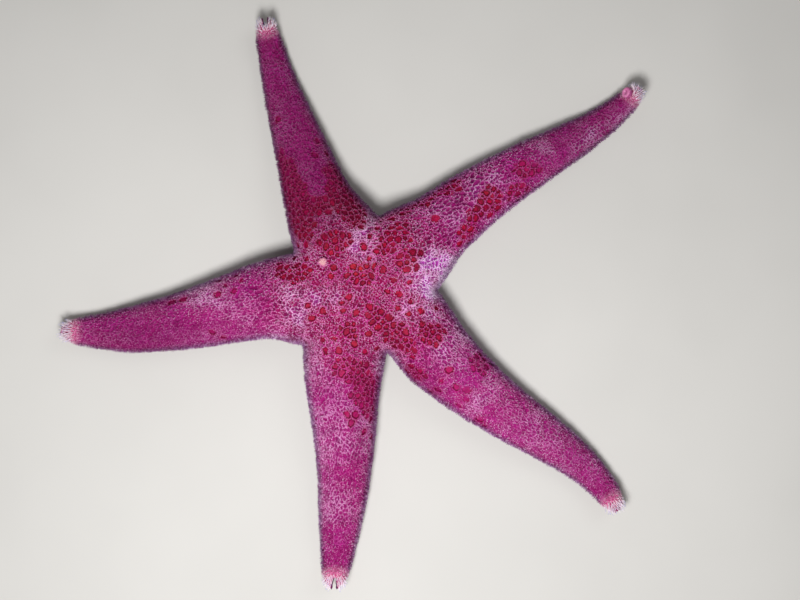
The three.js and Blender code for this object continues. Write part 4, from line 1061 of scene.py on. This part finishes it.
lone = np.maximum(C["under"], C["tip"])[chosen] > 0.5
per = np.where(lone, 1, np.where(C["flank"][chosen] > 0.5, TUFT_FLANK, TUFT_BACK))
knob_own = rng.random(len(chosen))
knob_turn = 6.283 * rng.random(len(chosen))
knob_long = 0.72 + 0.65 * rng.random(len(chosen))  # on the flanks some brushes stand out further
own = np.clip(np.repeat(knob_own, per) + rng.normal(0, 0.06, per.sum()), 0, 1)
place_in = np.arange(per.sum()) - np.repeat(np.cumsum(per) - per, per)
brush = np.repeat(knob_turn, per) + 6.283 * place_in / np.repeat(per, per) + rng.normal(0, 0.25, per.sum())
spread = np.repeat(~lone, per).astype(float)
knob_long = np.repeat(knob_long, per)
chosen = np.repeat(chosen, per)
CP, CN, lead = CP[chosen], CN[chosen], lead[chosen]
C = {k: v[chosen] for k, v in C.items()}
n = len(CP)
T, U, L_ = W.T[lead], W.U[lead], W.L[lead]
arm_k, turn = W.k[lead], W.turn[lead]
jitter = rng.normal(size=(n, 3))


def above_floor(R, D, length, wide):
    """Unit directions turned up just enough that no end comes lower than the floor."""
    D = D / np.linalg.norm(D, axis=1, keepdims=True)
    least = np.clip((0.03 + wide - R[:, 2]) / length, -0.98, 0.9)
    low = D[:, 2] < least
    flat = D[:, :2] + 1e-6
    flat *= (np.sqrt(1 - least**2) / np.hypot(*flat.T))[:, None]
    return np.where(low[:, None], np.concatenate([flat, least[:, None]], 1), D)


bristle = smooth((1.7 - C["to_end"]) / 0.8) * C["tip"]
lean = mix(0.14, 0.1, C["under"])
a1 = T - CN * (T * CN).sum(1)[:, None]
a1 /= np.maximum(np.linalg.norm(a1, axis=1, keepdims=True), 1e-6)
out = a1 * np.cos(brush)[:, None] + np.cross(CN, a1) * np.sin(brush)[:, None]
out *= spread[:, None]
CP = CP + out * 0.042
way = CN + T * lean[:, None] + out * 0.3 + jitter * mix(0.16, 0.07, spread)[:, None]
out_ward = L_ * np.sin(np.radians(turn))[:, None] + U * np.cos(np.radians(turn))[:, None]
way = mix(way, T * 1.0 + out_ward * 0.25 + jitter * 0.12 + CN * 0.3, bristle[:, None])
# Beside a parted end they turn away from the gap, so that it stays open.
beside = smooth((1.5 - np.abs(C["left"])) / 0.8) * smooth((2.6 - C["to_end"]) / 0.6) * np.isin(arm_k, [ROUND.index(1), ROUND.index(4)])
across = (way * L_).sum(1)
away = np.sign(C["left"]) * np.maximum(np.sign(C["left"]) * across, 0.12)
way = way + L_ * (beside * (away - across))[:, None]
way /= np.linalg.norm(way, axis=1, keepdims=True)
long = mix(0.16, 0.4 * knob_long, C["flank"]) * (1 + 0.3 * rng.random(n))
long = mix(long, 0.36, C["under"])
long = mix(long, 0.36, C["tip"])
long = mix(long, 0.8 + 0.35 * rng.random(n), bristle)
wide = mix(mix(0.036, 0.042, C["flank"]), 0.06, C["under"])
wide = mix(mix(wide, 0.05, C["tip"]), 0.07, bristle)
blunt = mix(mix(0.8, 0.7, C["flank"]), 0.3, bristle)
# None reaches through the floor.
way = above_floor(CP, way, long, wide)


def spinelets(name, pick, mat, slot, sides=3):
    n = len(pick)
    R, D = CP[pick], way[pick]
    side = np.cross(D, np.where(np.abs(D[:, 2:3]) > 0.9, [1.0, 0, 0], [0, 0, 1.0]))
    side /= np.linalg.norm(side, axis=1, keepdims=True)
    other = np.cross(D, side)
    a = 2 * np.pi * np.arange(sides) / sides + rng.random((n, 1)) * 6.283
    ringv = side[:, None] * np.cos(a)[..., None] + other[:, None] * np.sin(a)[..., None]
    base = R[:, None] - D[:, None] * 0.04 + ringv * wide[pick, None, None]
    top = R[:, None] + (D * long[pick, None])[:, None] + ringv * (wide * blunt)[pick, None, None]
    V = np.concatenate([base, top], 1)
    idx = np.arange(n)[:, None] * 2 * sides
    i = np.arange(sides)
    j = (i + 1) % sides
    quads = np.concatenate([(np.stack([i, j, j + sides, i + sides], -1)[None] + idx[..., None]).reshape(-1, 4)])
    caps = (idx + sides + i).reshape(-1, sides)
    ob = new_mesh(name, V.reshape(-1, 3), [quads, caps])
    vals = {k: np.repeat(C[k][pick], 2 * sides) for k in ("faint", "red", "ember", "pale", "under", "tip", "luck", "flank", "blush", "dusk", "calm")}
    vals["own"] = np.repeat(own[pick], 2 * sides)
    vals["rise"] = np.tile(np.repeat([0.0, 1.0], sides), n)
    finish_piece(ob, mat, slot, **vals)
    uv = ob.data.uv_layers.new(name="OFBake")
    u = C["s"][pick] / LENGTH[arm_k[pick]]
    v = turn[pick] / 360 + 0.5
    u, v = (u - u.min()) / np.ptp(u), (v - v.min()) / np.ptp(v)
    centre = 0.002 + 0.996 * np.stack([u, v], -1)
    r = np.array([0.0015] * sides + [0.0006] * sides)
    aa = np.tile(2 * np.pi * np.arange(sides) / sides, 2)
    patch = centre[:, None] + np.stack([r * np.cos(aa), r * np.sin(aa)], -1)
    patch = patch.reshape(-1, 2)
    li = np.empty(len(ob.data.loops), np.int32)
    ob.data.loops.foreach_get("vertex_index", li)
    uv.data.foreach_set("uv", patch[li].astype(np.float32).ravel())
    return ob


for k, i in enumerate(ROUND):
    mine = arm_k == k
    back = np.abs(turn) < 97
    spinelets(f"coat_arm_{i}_left", np.nonzero(mine & back & (turn >= 0))[0], COAT_MAT, "skin")
    spinelets(f"coat_arm_{i}_right", np.nonzero(mine & back & (turn < 0))[0], COAT_MAT, "skin")
    spinelets(f"coat_arm_{i}_sole", np.nonzero(mine & ~back)[0], COAT_MAT, "skin")

# ----------------------------------------------------------- spines, feet and plates


def rods(name, R, D, length, wide, blunt, mat, slot, bend=None, sides=4, **fields):
    """Many tapered rods in one mesh, each with a middle ring so that it can bend."""
    n = len(R)
    D = D / np.linalg.norm(D, axis=1, keepdims=True)
    side = np.cross(D, np.where(np.abs(D[:, 2:3]) > 0.9, [1.0, 0, 0], [0, 0, 1.0]))
    side /= np.linalg.norm(side, axis=1, keepdims=True)
    other = np.cross(D, side)
    a = 2 * np.pi * np.arange(sides) / sides + rng.random((n, 1)) * 6.283
    around = side[:, None] * np.cos(a)[..., None] + other[:, None] * np.sin(a)[..., None]
    bend = np.zeros_like(R) if bend is None else bend
    rings = []
    for t, r in ((-0.08, 1.0), (0.5, mix(1.0, blunt, 0.45)), (0.92, blunt), (1.0, blunt * 0.45)):
        mid = R + D * (length * t)[:, None] + bend * (length * max(t, 0) ** 2)[:, None]
        rings.append(mid[:, None] + around * (wide * r)[:, None, None])
    V = np.concatenate(rings, 1)
    k = len(rings)
    base = np.arange(n)[:, None] * k * sides
    i = np.arange(sides)
    j = (i + 1) % sides
    quad = np.concatenate([np.stack([i, j, j + sides, i + sides], -1) + m * sides for m in range(k - 1)])
    quads = (quad[None] + base[..., None]).reshape(-1, 4)
    caps = (base + (k - 1) * sides + i).reshape(-1, sides)
    ob = new_mesh(name, V.reshape(-1, 3), [quads, caps])
    vals = {key: np.repeat(v, k * sides) for key, v in fields.items()}
    vals["rise"] = np.tile(np.repeat([0.0, 0.55, 0.92, 1.0], sides), n)
    finish_piece(ob, mat, slot, **vals)
    return ob


def patch_map(ob, u, v, per, sides):
    """OFBake: each rod is a small patch at its root's place."""
    layer = ob.data.uv_layers.new(name="OFBake")
    centre = 0.002 + 0.996 * np.stack([(u - u.min()) / np.ptp(u), (v - v.min()) / np.ptp(v)], -1)
    r = np.repeat(np.linspace(0.0015, 0.0004, per), sides)
    a = np.tile(2 * np.pi * np.arange(sides) / sides, per)
    patch = (centre[:, None] + np.stack([r * np.cos(a), r * np.sin(a)], -1)).reshape(-1, 2)
    li = np.empty(len(ob.data.loops), np.int32)
    ob.data.loops.foreach_get("vertex_index", li)
    layer.uv.foreach_set("vector", patch[li].astype(np.float32).ravel())


SKIN_TREE = KDTree(len(P))
for j, p in enumerate(P):
    SKIN_TREE.insert(p, j)
SKIN_TREE.balance()


def skin_near(points):
    return np.array([SKIN_TREE.find(p)[1] for p in points])


# Rows of spines along both edges of each furrow, leaning over it.
for i in ROUND:
    arm = ARM[i]
    roots, ways, longs, us, vs = [], [], [], [], []
    s = 4.9
    while s < arm.L - 0.9:
        t = s / arm.L
        fh = float(arm.furrow(s)[0])
        size = mix(1.0, 0.6, t)
        x, y, h = map(float, arm.line(s))
        left = np.array([-math.sin(h), math.cos(h), 0])
        p = float(np.interp(s, arm.s, arm.p))
        fore = np.array([math.cos(h) * math.cos(p), math.sin(h) * math.cos(p), math.sin(p)])
        up = np.cross(fore, left)
        for sgn in (1, -1):
            for row, (out, inward, down, long_) in enumerate(((0.1, 0.95, 0.1, 0.85), (0.32, 0.55, 0.5, 0.62), (0.58, 0.1, 0.8, 0.42), (0.85, -0.2, 0.8, 0.38))):
                shift = 0.5 * (row % 2) * 0.36 * size
                r = arm.spot(min(s + shift, arm.L - 0.6), sgn * (fh + out * size), 0.3)
                roots.append(r)
                ways.append(-sgn * left * inward - up * down + fore * rng.normal(0, 0.14) + left * rng.normal(0, 0.08))
                longs.append(long_ * size * (1 + 0.2 * rng.random()))
                us.append(t)
                vs.append(sgn * (0.1 + 0.1 * row))
        s += 0.36 * size
    roots, ways, longs = map(np.array, (roots, ways, longs))
    at = skin_near(roots)
    R = P[at]
    ways = above_floor(R, ways, longs, 0.07 * longs**0.4)
    ob = rods(f"furrow_spines_{i}", R, ways, longs, 0.07 * longs**0.4, 0.75, SPINE_MAT, "arm_end", own=rng.random(len(R)))
    patch_map(ob, np.array(us), np.array(vs), 4, 4)

# Tube feet: two rows in each furrow, from its roof down to their suckers.
FOOT_PROFILE = [  # height over the sucker's level as a share of the foot, radius
    (1.0, 0.95), (0.86, 1.05), (0.7, 0.92), (0.52, 0.84), (0.34, 0.8), (0.2, 0.72), (0.13, 0.74), (0.09, 1.1), (0.05, 1.24), (0.01, 1.18), (0.0, 0.92), (0.035, 0.5), (0.05, 0.0),
]
for i in ROUND:
    arm = ARM[i]
    m = 12
    verts, faces, own, rise, base = [], [], [], [], 0
    a = 2 * np.pi * np.arange(m) / m
    s, k = MOUTH_R + 0.5, 0
    while s < arm.L - (arm.cleft + 0.3 if arm.cleft else 1.1):
        t = s / arm.L
        for sgn in (1, -1):
            at = s + (0.36 if sgn > 0 else 0) * mix(1, 0.6, t)
            fh, fd = map(float, arm.furrow(at))
            x0 = sgn * mix(0.56, 0.27, t)
            r = mix(0.34, 0.15, t) * (1 + 0.1 * rng.normal())
            high, foot = fd + 0.3, mix(0.12, 0.2, t)
            lean = rng.normal(0, 0.16, 2) * mix(1, 0.5, t)
            twist = rng.random() * 6.28
            first = base
            for h, w in FOOT_PROFILE:
                y = foot + (high - foot) * h
                f = (1 - h) ** 1.6
                for q in a if w else a[:1]:
                    verts.append(arm.spot(at + lean[0] * f + r * w * math.cos(q + twist), x0 + lean[1] * f + r * w * math.sin(q + twist), y))
                rise.append(np.full(m if w else 1, 1 - h))
                base += m if w else 1
            ring = np.arange(m)
            nxt = (ring + 1) % m
            for j in range(len(FOOT_PROFILE) - 2):
                faces.append(np.stack([ring, nxt, nxt + m, ring + m], -1)[:, ::-1] + first + j * m)
            last = first + (len(FOOT_PROFILE) - 2) * m
            tri = np.stack([last + ring, last + nxt, np.full(m, base - 1)], -1)[:, ::-1]
            faces.append(tri)
            faces.append((first + ring)[None][:, :])
            own.append(np.full(base - first, rng.random()))
        s += mix(1.42, 0.8, t)
        k += 1
    quads = [f for f in faces if f.shape[1] == 4]
    tris = [f for f in faces if f.shape[1] == 3]
    tops = [f for f in faces if f.shape[1] == m]
    ob = new_mesh(f"tube_feet_{i}", np.array(verts), [np.concatenate(quads), np.concatenate(tris), np.concatenate(tops)])
    finish_piece(ob, FOOT_MAT, "tube_feet", [f"tube_feet_{i}_inner", f"tube_feet_{i}_outer"], own=np.concatenate(own), rise=np.concatenate(rise))

# Mouth: a soft ring drawn together in radial folds.
prof = [(0.32, 3.05), (0.5, 2.72), (0.9, 2.62), (1.5, 2.74), (2.2, 2.95), (2.9, 3.15), (3.4, 3.34), (3.9, 3.44), (4.4, 3.5), (4.86, 3.6), (4.9, 3.8), (4.3, 3.88), (3.0, 3.86), (2.0, 3.8), (1.0, 3.78), (0.55, 3.68), (0.36, 3.4)]
m = 120
a = 2 * np.pi * np.arange(m) / m
grid, rise = [], []
for r, z in prof:
    f = 0.13 * np.exp(-(((r - 1.0) / 1.1) ** 2)) * (z < 3.7)
    fold = f * (np.cos(20 * a + 0.6 * np.sin(3 * a)) + 0.4 * np.cos(35 * a + 1))
    rr = r * (1 + 0.04 * np.cos(5 * (a - math.radians(MOUTH_TURN))))
    grid.append(np.stack([rr * np.cos(a), rr * np.sin(a), z + fold], -1))
    rise.append(np.clip(r / 3.6 + 0.6 * fold / 0.13 * 0.3, 0, 1))
k = len(prof)
v = np.concatenate(grid)
j = (np.arange(m) + 1) % m
quads = np.concatenate([np.stack([np.arange(m) + q * m, j + q * m, j + ((q + 1) % k) * m, np.arange(m) + ((q + 1) % k) * m], -1) for q in range(k)])
finish_piece(new_mesh("mouth_ring", v, [quads[:, ::-1]]), MOUTH_MAT, "mouth", ["mouth"], rise=np.concatenate(rise))


def rounded_copy(node, name, grain, rounds, mat, slot):
    """A node's solid with its edges worn round."""
    src = bpy.data.objects[node]
    ob = bpy.data.objects.new("raw", src.data.copy())
    bpy.context.scene.collection.objects.link(ob)
    mod = ob.modifiers.new("voxel", "REMESH")
    mod.mode, mod.voxel_size = "VOXEL", grain * MM
    me = evaluated(ob)
    bpy.data.objects.remove(ob)
    V = np.empty(len(me.vertices) * 3)
    me.vertices.foreach_get("co", V)
    Q = np.empty(len(me.loops), np.int32)
    me.loops.foreach_get("vertex_index", Q)
    Ed = np.empty(len(me.edges) * 2, np.int32)
    me.edges.foreach_get("vertices", Ed)
    bpy.data.meshes.remove(me)
    V = V.reshape(-1, 3) / MM - CENTRE
    Q, Ed = Q.reshape(-1, 4), Ed.reshape(-1, 2)
    V = relax(V, Ed, np.full(len(V), 0.5), rounds)
    Nn = vertex_normals(V, Q)
    V = V + Nn * (0.05 * noise(V, 0.5, 31) + 0.03 * noise(V, 0.25, 32) + 0.06)[:, None]
    out = new_mesh(name, V, [Q])
    finish_piece(out, mat, slot, [node])
    return V, Nn


jaw_roots, jaw_ways, jaw_longs = [], [], []
for i in range(1, 6):
    V, Nn = rounded_copy(f"jaw_{i}", f"jaw_{i}_plates", 0.12, 6, JAW_MAT, "jaws")
    mid = V.mean(0)
    aim = -mid * [1, 1, 0] / np.hypot(*mid[:2])
    across = np.array([-aim[1], aim[0], 0])
    reach = (V @ aim) - (mid @ aim)
    low = (V[:, 2] < 1.9) & (V[:, 2] > 0.3)
    # The mouth spines stand along the two edges that meet at the jaw's point.
    want = np.nonzero(low & (Nn[:, 2] < 0.55) & (reach > -0.9))[0]
    want = want[rng.permutation(len(want))]
    took = []
    for w in want:
        if all(np.linalg.norm(V[w] - V[o]) > 0.36 for o in took):
            took.append(w)
    for w in took:
        d = aim * 0.9 + Nn[w] * 0.5 + np.array([0, 0, -0.35]) + rng.normal(0, 0.08, 3)
        jaw_roots.append(V[w])
        jaw_ways.append(d)
        jaw_longs.append(mix(0.45, 0.95, smooth((reach[w] + 0.9) / 1.8)) * (1 + 0.15 * rng.random()))
jr, jw, jl = np.array(jaw_roots), np.array(jaw_ways), np.array(jaw_longs)
jw = above_floor(jr, jw, jl, 0.08)
ob = rods("mouth_spines", jr, jw, jl, np.full(len(jr), 0.08), 0.6, SPINE_MAT, "arm_end", own=rng.random(len(jr)))
patch_map(ob, jr[:, 0], jr[:, 1], 4, 4)

# Sieve plate: a low button with winding grooves from its middle out.
lo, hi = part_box("sieve_plate")
top_z, bottom_z = hi.z / MM - CENTRE[2], lo.z / MM
rr = np.concatenate([np.linspace(0.02, 0.72, 15), [0.76, 0.79, 0.8, 0.79, 0.76]])
m = 72
a = 2 * np.pi * np.arange(m) / m
grid, rise, rims = [], [], []
for q, r in enumerate(rr):
    rims.append(np.full(m, smooth((r - 0.38) / 0.34)))
    if q < 16:
        z = top_z - 0.22 * (r / SIEVE_R) ** 3 - 0.03
        groove = np.cos(11 * a + 2.6 * np.sin(6.0 * r + 2 * a) + 7 * r + 1.3 * np.sin(3 * a + 1))
        z = z + 0.055 * groove * smooth((r - 0.05) / 0.2)
        rise.append(0.5 + 0.5 * groove)
    else:
        z = np.full(m, [top_z - 0.3, top_z - 0.45, bottom_z + 0.2, bottom_z][q - 16])
        rise.append(np.full(m, 0.6))
    rim = r * (1 - 0.09 * (1 + np.cos(3 * a + 0.4) * 0.5 + 0.5 * np.cos(7 * a)) * min(1, r / 0.6))
    grid.append(np.stack([SIEVE_AT[0] + rim * np.cos(a), SIEVE_AT[1] + rim * np.sin(a), z], -1))
v = np.concatenate(grid)
j = (np.arange(m) + 1) % m
quads = np.concatenate([np.stack([np.arange(m) + q * m, np.arange(m) + (q + 1) * m, j + (q + 1) * m, j + q * m], -1) for q in range(len(rr) - 1)])
caps = [np.arange(m)[None], (np.arange(m) + (len(rr) - 1) * m)[::-1][None]]
finish_piece(new_mesh("sieve_plate_fine", v, [quads, *caps]), SIEVE_MAT, "plates", ["sieve_plate"], rise=np.concatenate(rise), rim=np.concatenate(rims))

# End plate of arm 2: a ring with a dimple in it.
py, pz = PLATE_OUT, PLATE_DOWN
px = np.cross(py, pz)
prof = [(0.02, -0.02), (0.12, 0.0), (0.2, 0.05), (0.27, 0.14), (0.36, 0.22), (0.46, 0.262), (0.56, 0.255), (0.66, 0.21), (0.74, 0.12), (0.79, -0.02), (0.8, -0.3), (0.76, -0.6)]
m = 56
a = 2 * np.pi * np.arange(m) / m
grid, rise = [], []
for r, z in prof:
    zz = z + 0.012 * np.cos(9 * a + 8 * r) * (0.25 < r < 0.75)
    rr = r * (1.13 + 0.03 * np.cos(2 * a + 1) + 0.015 * np.cos(5 * a))
    grid.append(PLATE_MID + px * (rr * np.cos(a))[:, None] + pz * (rr * np.sin(a))[:, None] + py * zz[:, None])
    rise.append(np.full(m, np.clip(z / 0.26, 0, 1)))
v = np.concatenate(grid)
j = (np.arange(m) + 1) % m
quads = np.concatenate([np.stack([np.arange(m) + q * m, j + q * m, j + (q + 1) * m, np.arange(m) + (q + 1) * m], -1) for q in range(len(prof) - 1)])
caps = [np.arange(m)[::-1][None], (np.arange(m) + (len(prof) - 1) * m)[None]]
finish_piece(new_mesh("end_plate_ring", v, [quads, *caps]), END_MAT, "plates", ["end_plate_2"], rise=np.concatenate(rise))

# ------------------------------------------------------------ floor, light and camera

side = 1.5
floor_z = 0.0
floor = new_mesh("floor", np.array([[-side, -side, floor_z], [side, -side, floor_z], [side, side, floor_z], [-side, side, floor_z]]), [np.array([[0, 1, 2, 3]])], metres=False)
floor.data.materials.append(FLOOR_MAT)


def soft_light(name, at, size, power, colour=(1, 1, 1)):
    data = bpy.data.lights.new(name, "AREA")
    data.shape = "DISK"
    data.size = size
    data.energy = power
    data.color = colour
    ob = bpy.data.objects.new(name, data)
    bpy.context.scene.collection.objects.link(ob)
    ob.location = at
    d = Vector(at) * -1
    ob.rotation_euler = d.to_track_quat("-Z", "Y").to_euler()
    return ob


soft_light("key", (-0.012, -0.06, 0.18), 0.06, 0.395)
soft_light("fill", (0.3, 0.22, 0.42), 0.3, 0.3)

world = bpy.data.worlds.new("studio")
world.use_nodes = True
world.node_tree.nodes["Background"].inputs[0].default_value = (1, 1, 1, 1)
world.node_tree.nodes["Background"].inputs[1].default_value = 0.16
bpy.context.scene.world = world
bpy.context.scene.view_settings.view_transform = "Standard"

# Straight down on the star, as high as a 70 mm lens needs for a view 133.3 mm wide.
WIDE, AIM, AIM_HIGH = 0.13333, (6.667, -2.5), 3.5
cam = bpy.data.cameras.new("camera")
cam.lens, cam.sensor_width = 70, 36
cam.clip_start, cam.clip_end = 0.01, 10
ob = bpy.data.objects.new("camera", cam)
bpy.context.scene.collection.objects.link(ob)
ob.location = ((CENTRE[0] + AIM[0]) * MM, (CENTRE[1] + AIM[1]) * MM, AIM_HIGH * MM + WIDE * cam.lens / cam.sensor_width)
ob.rotation_euler = (0, 0, 0)
bpy.context.scene.camera = ob
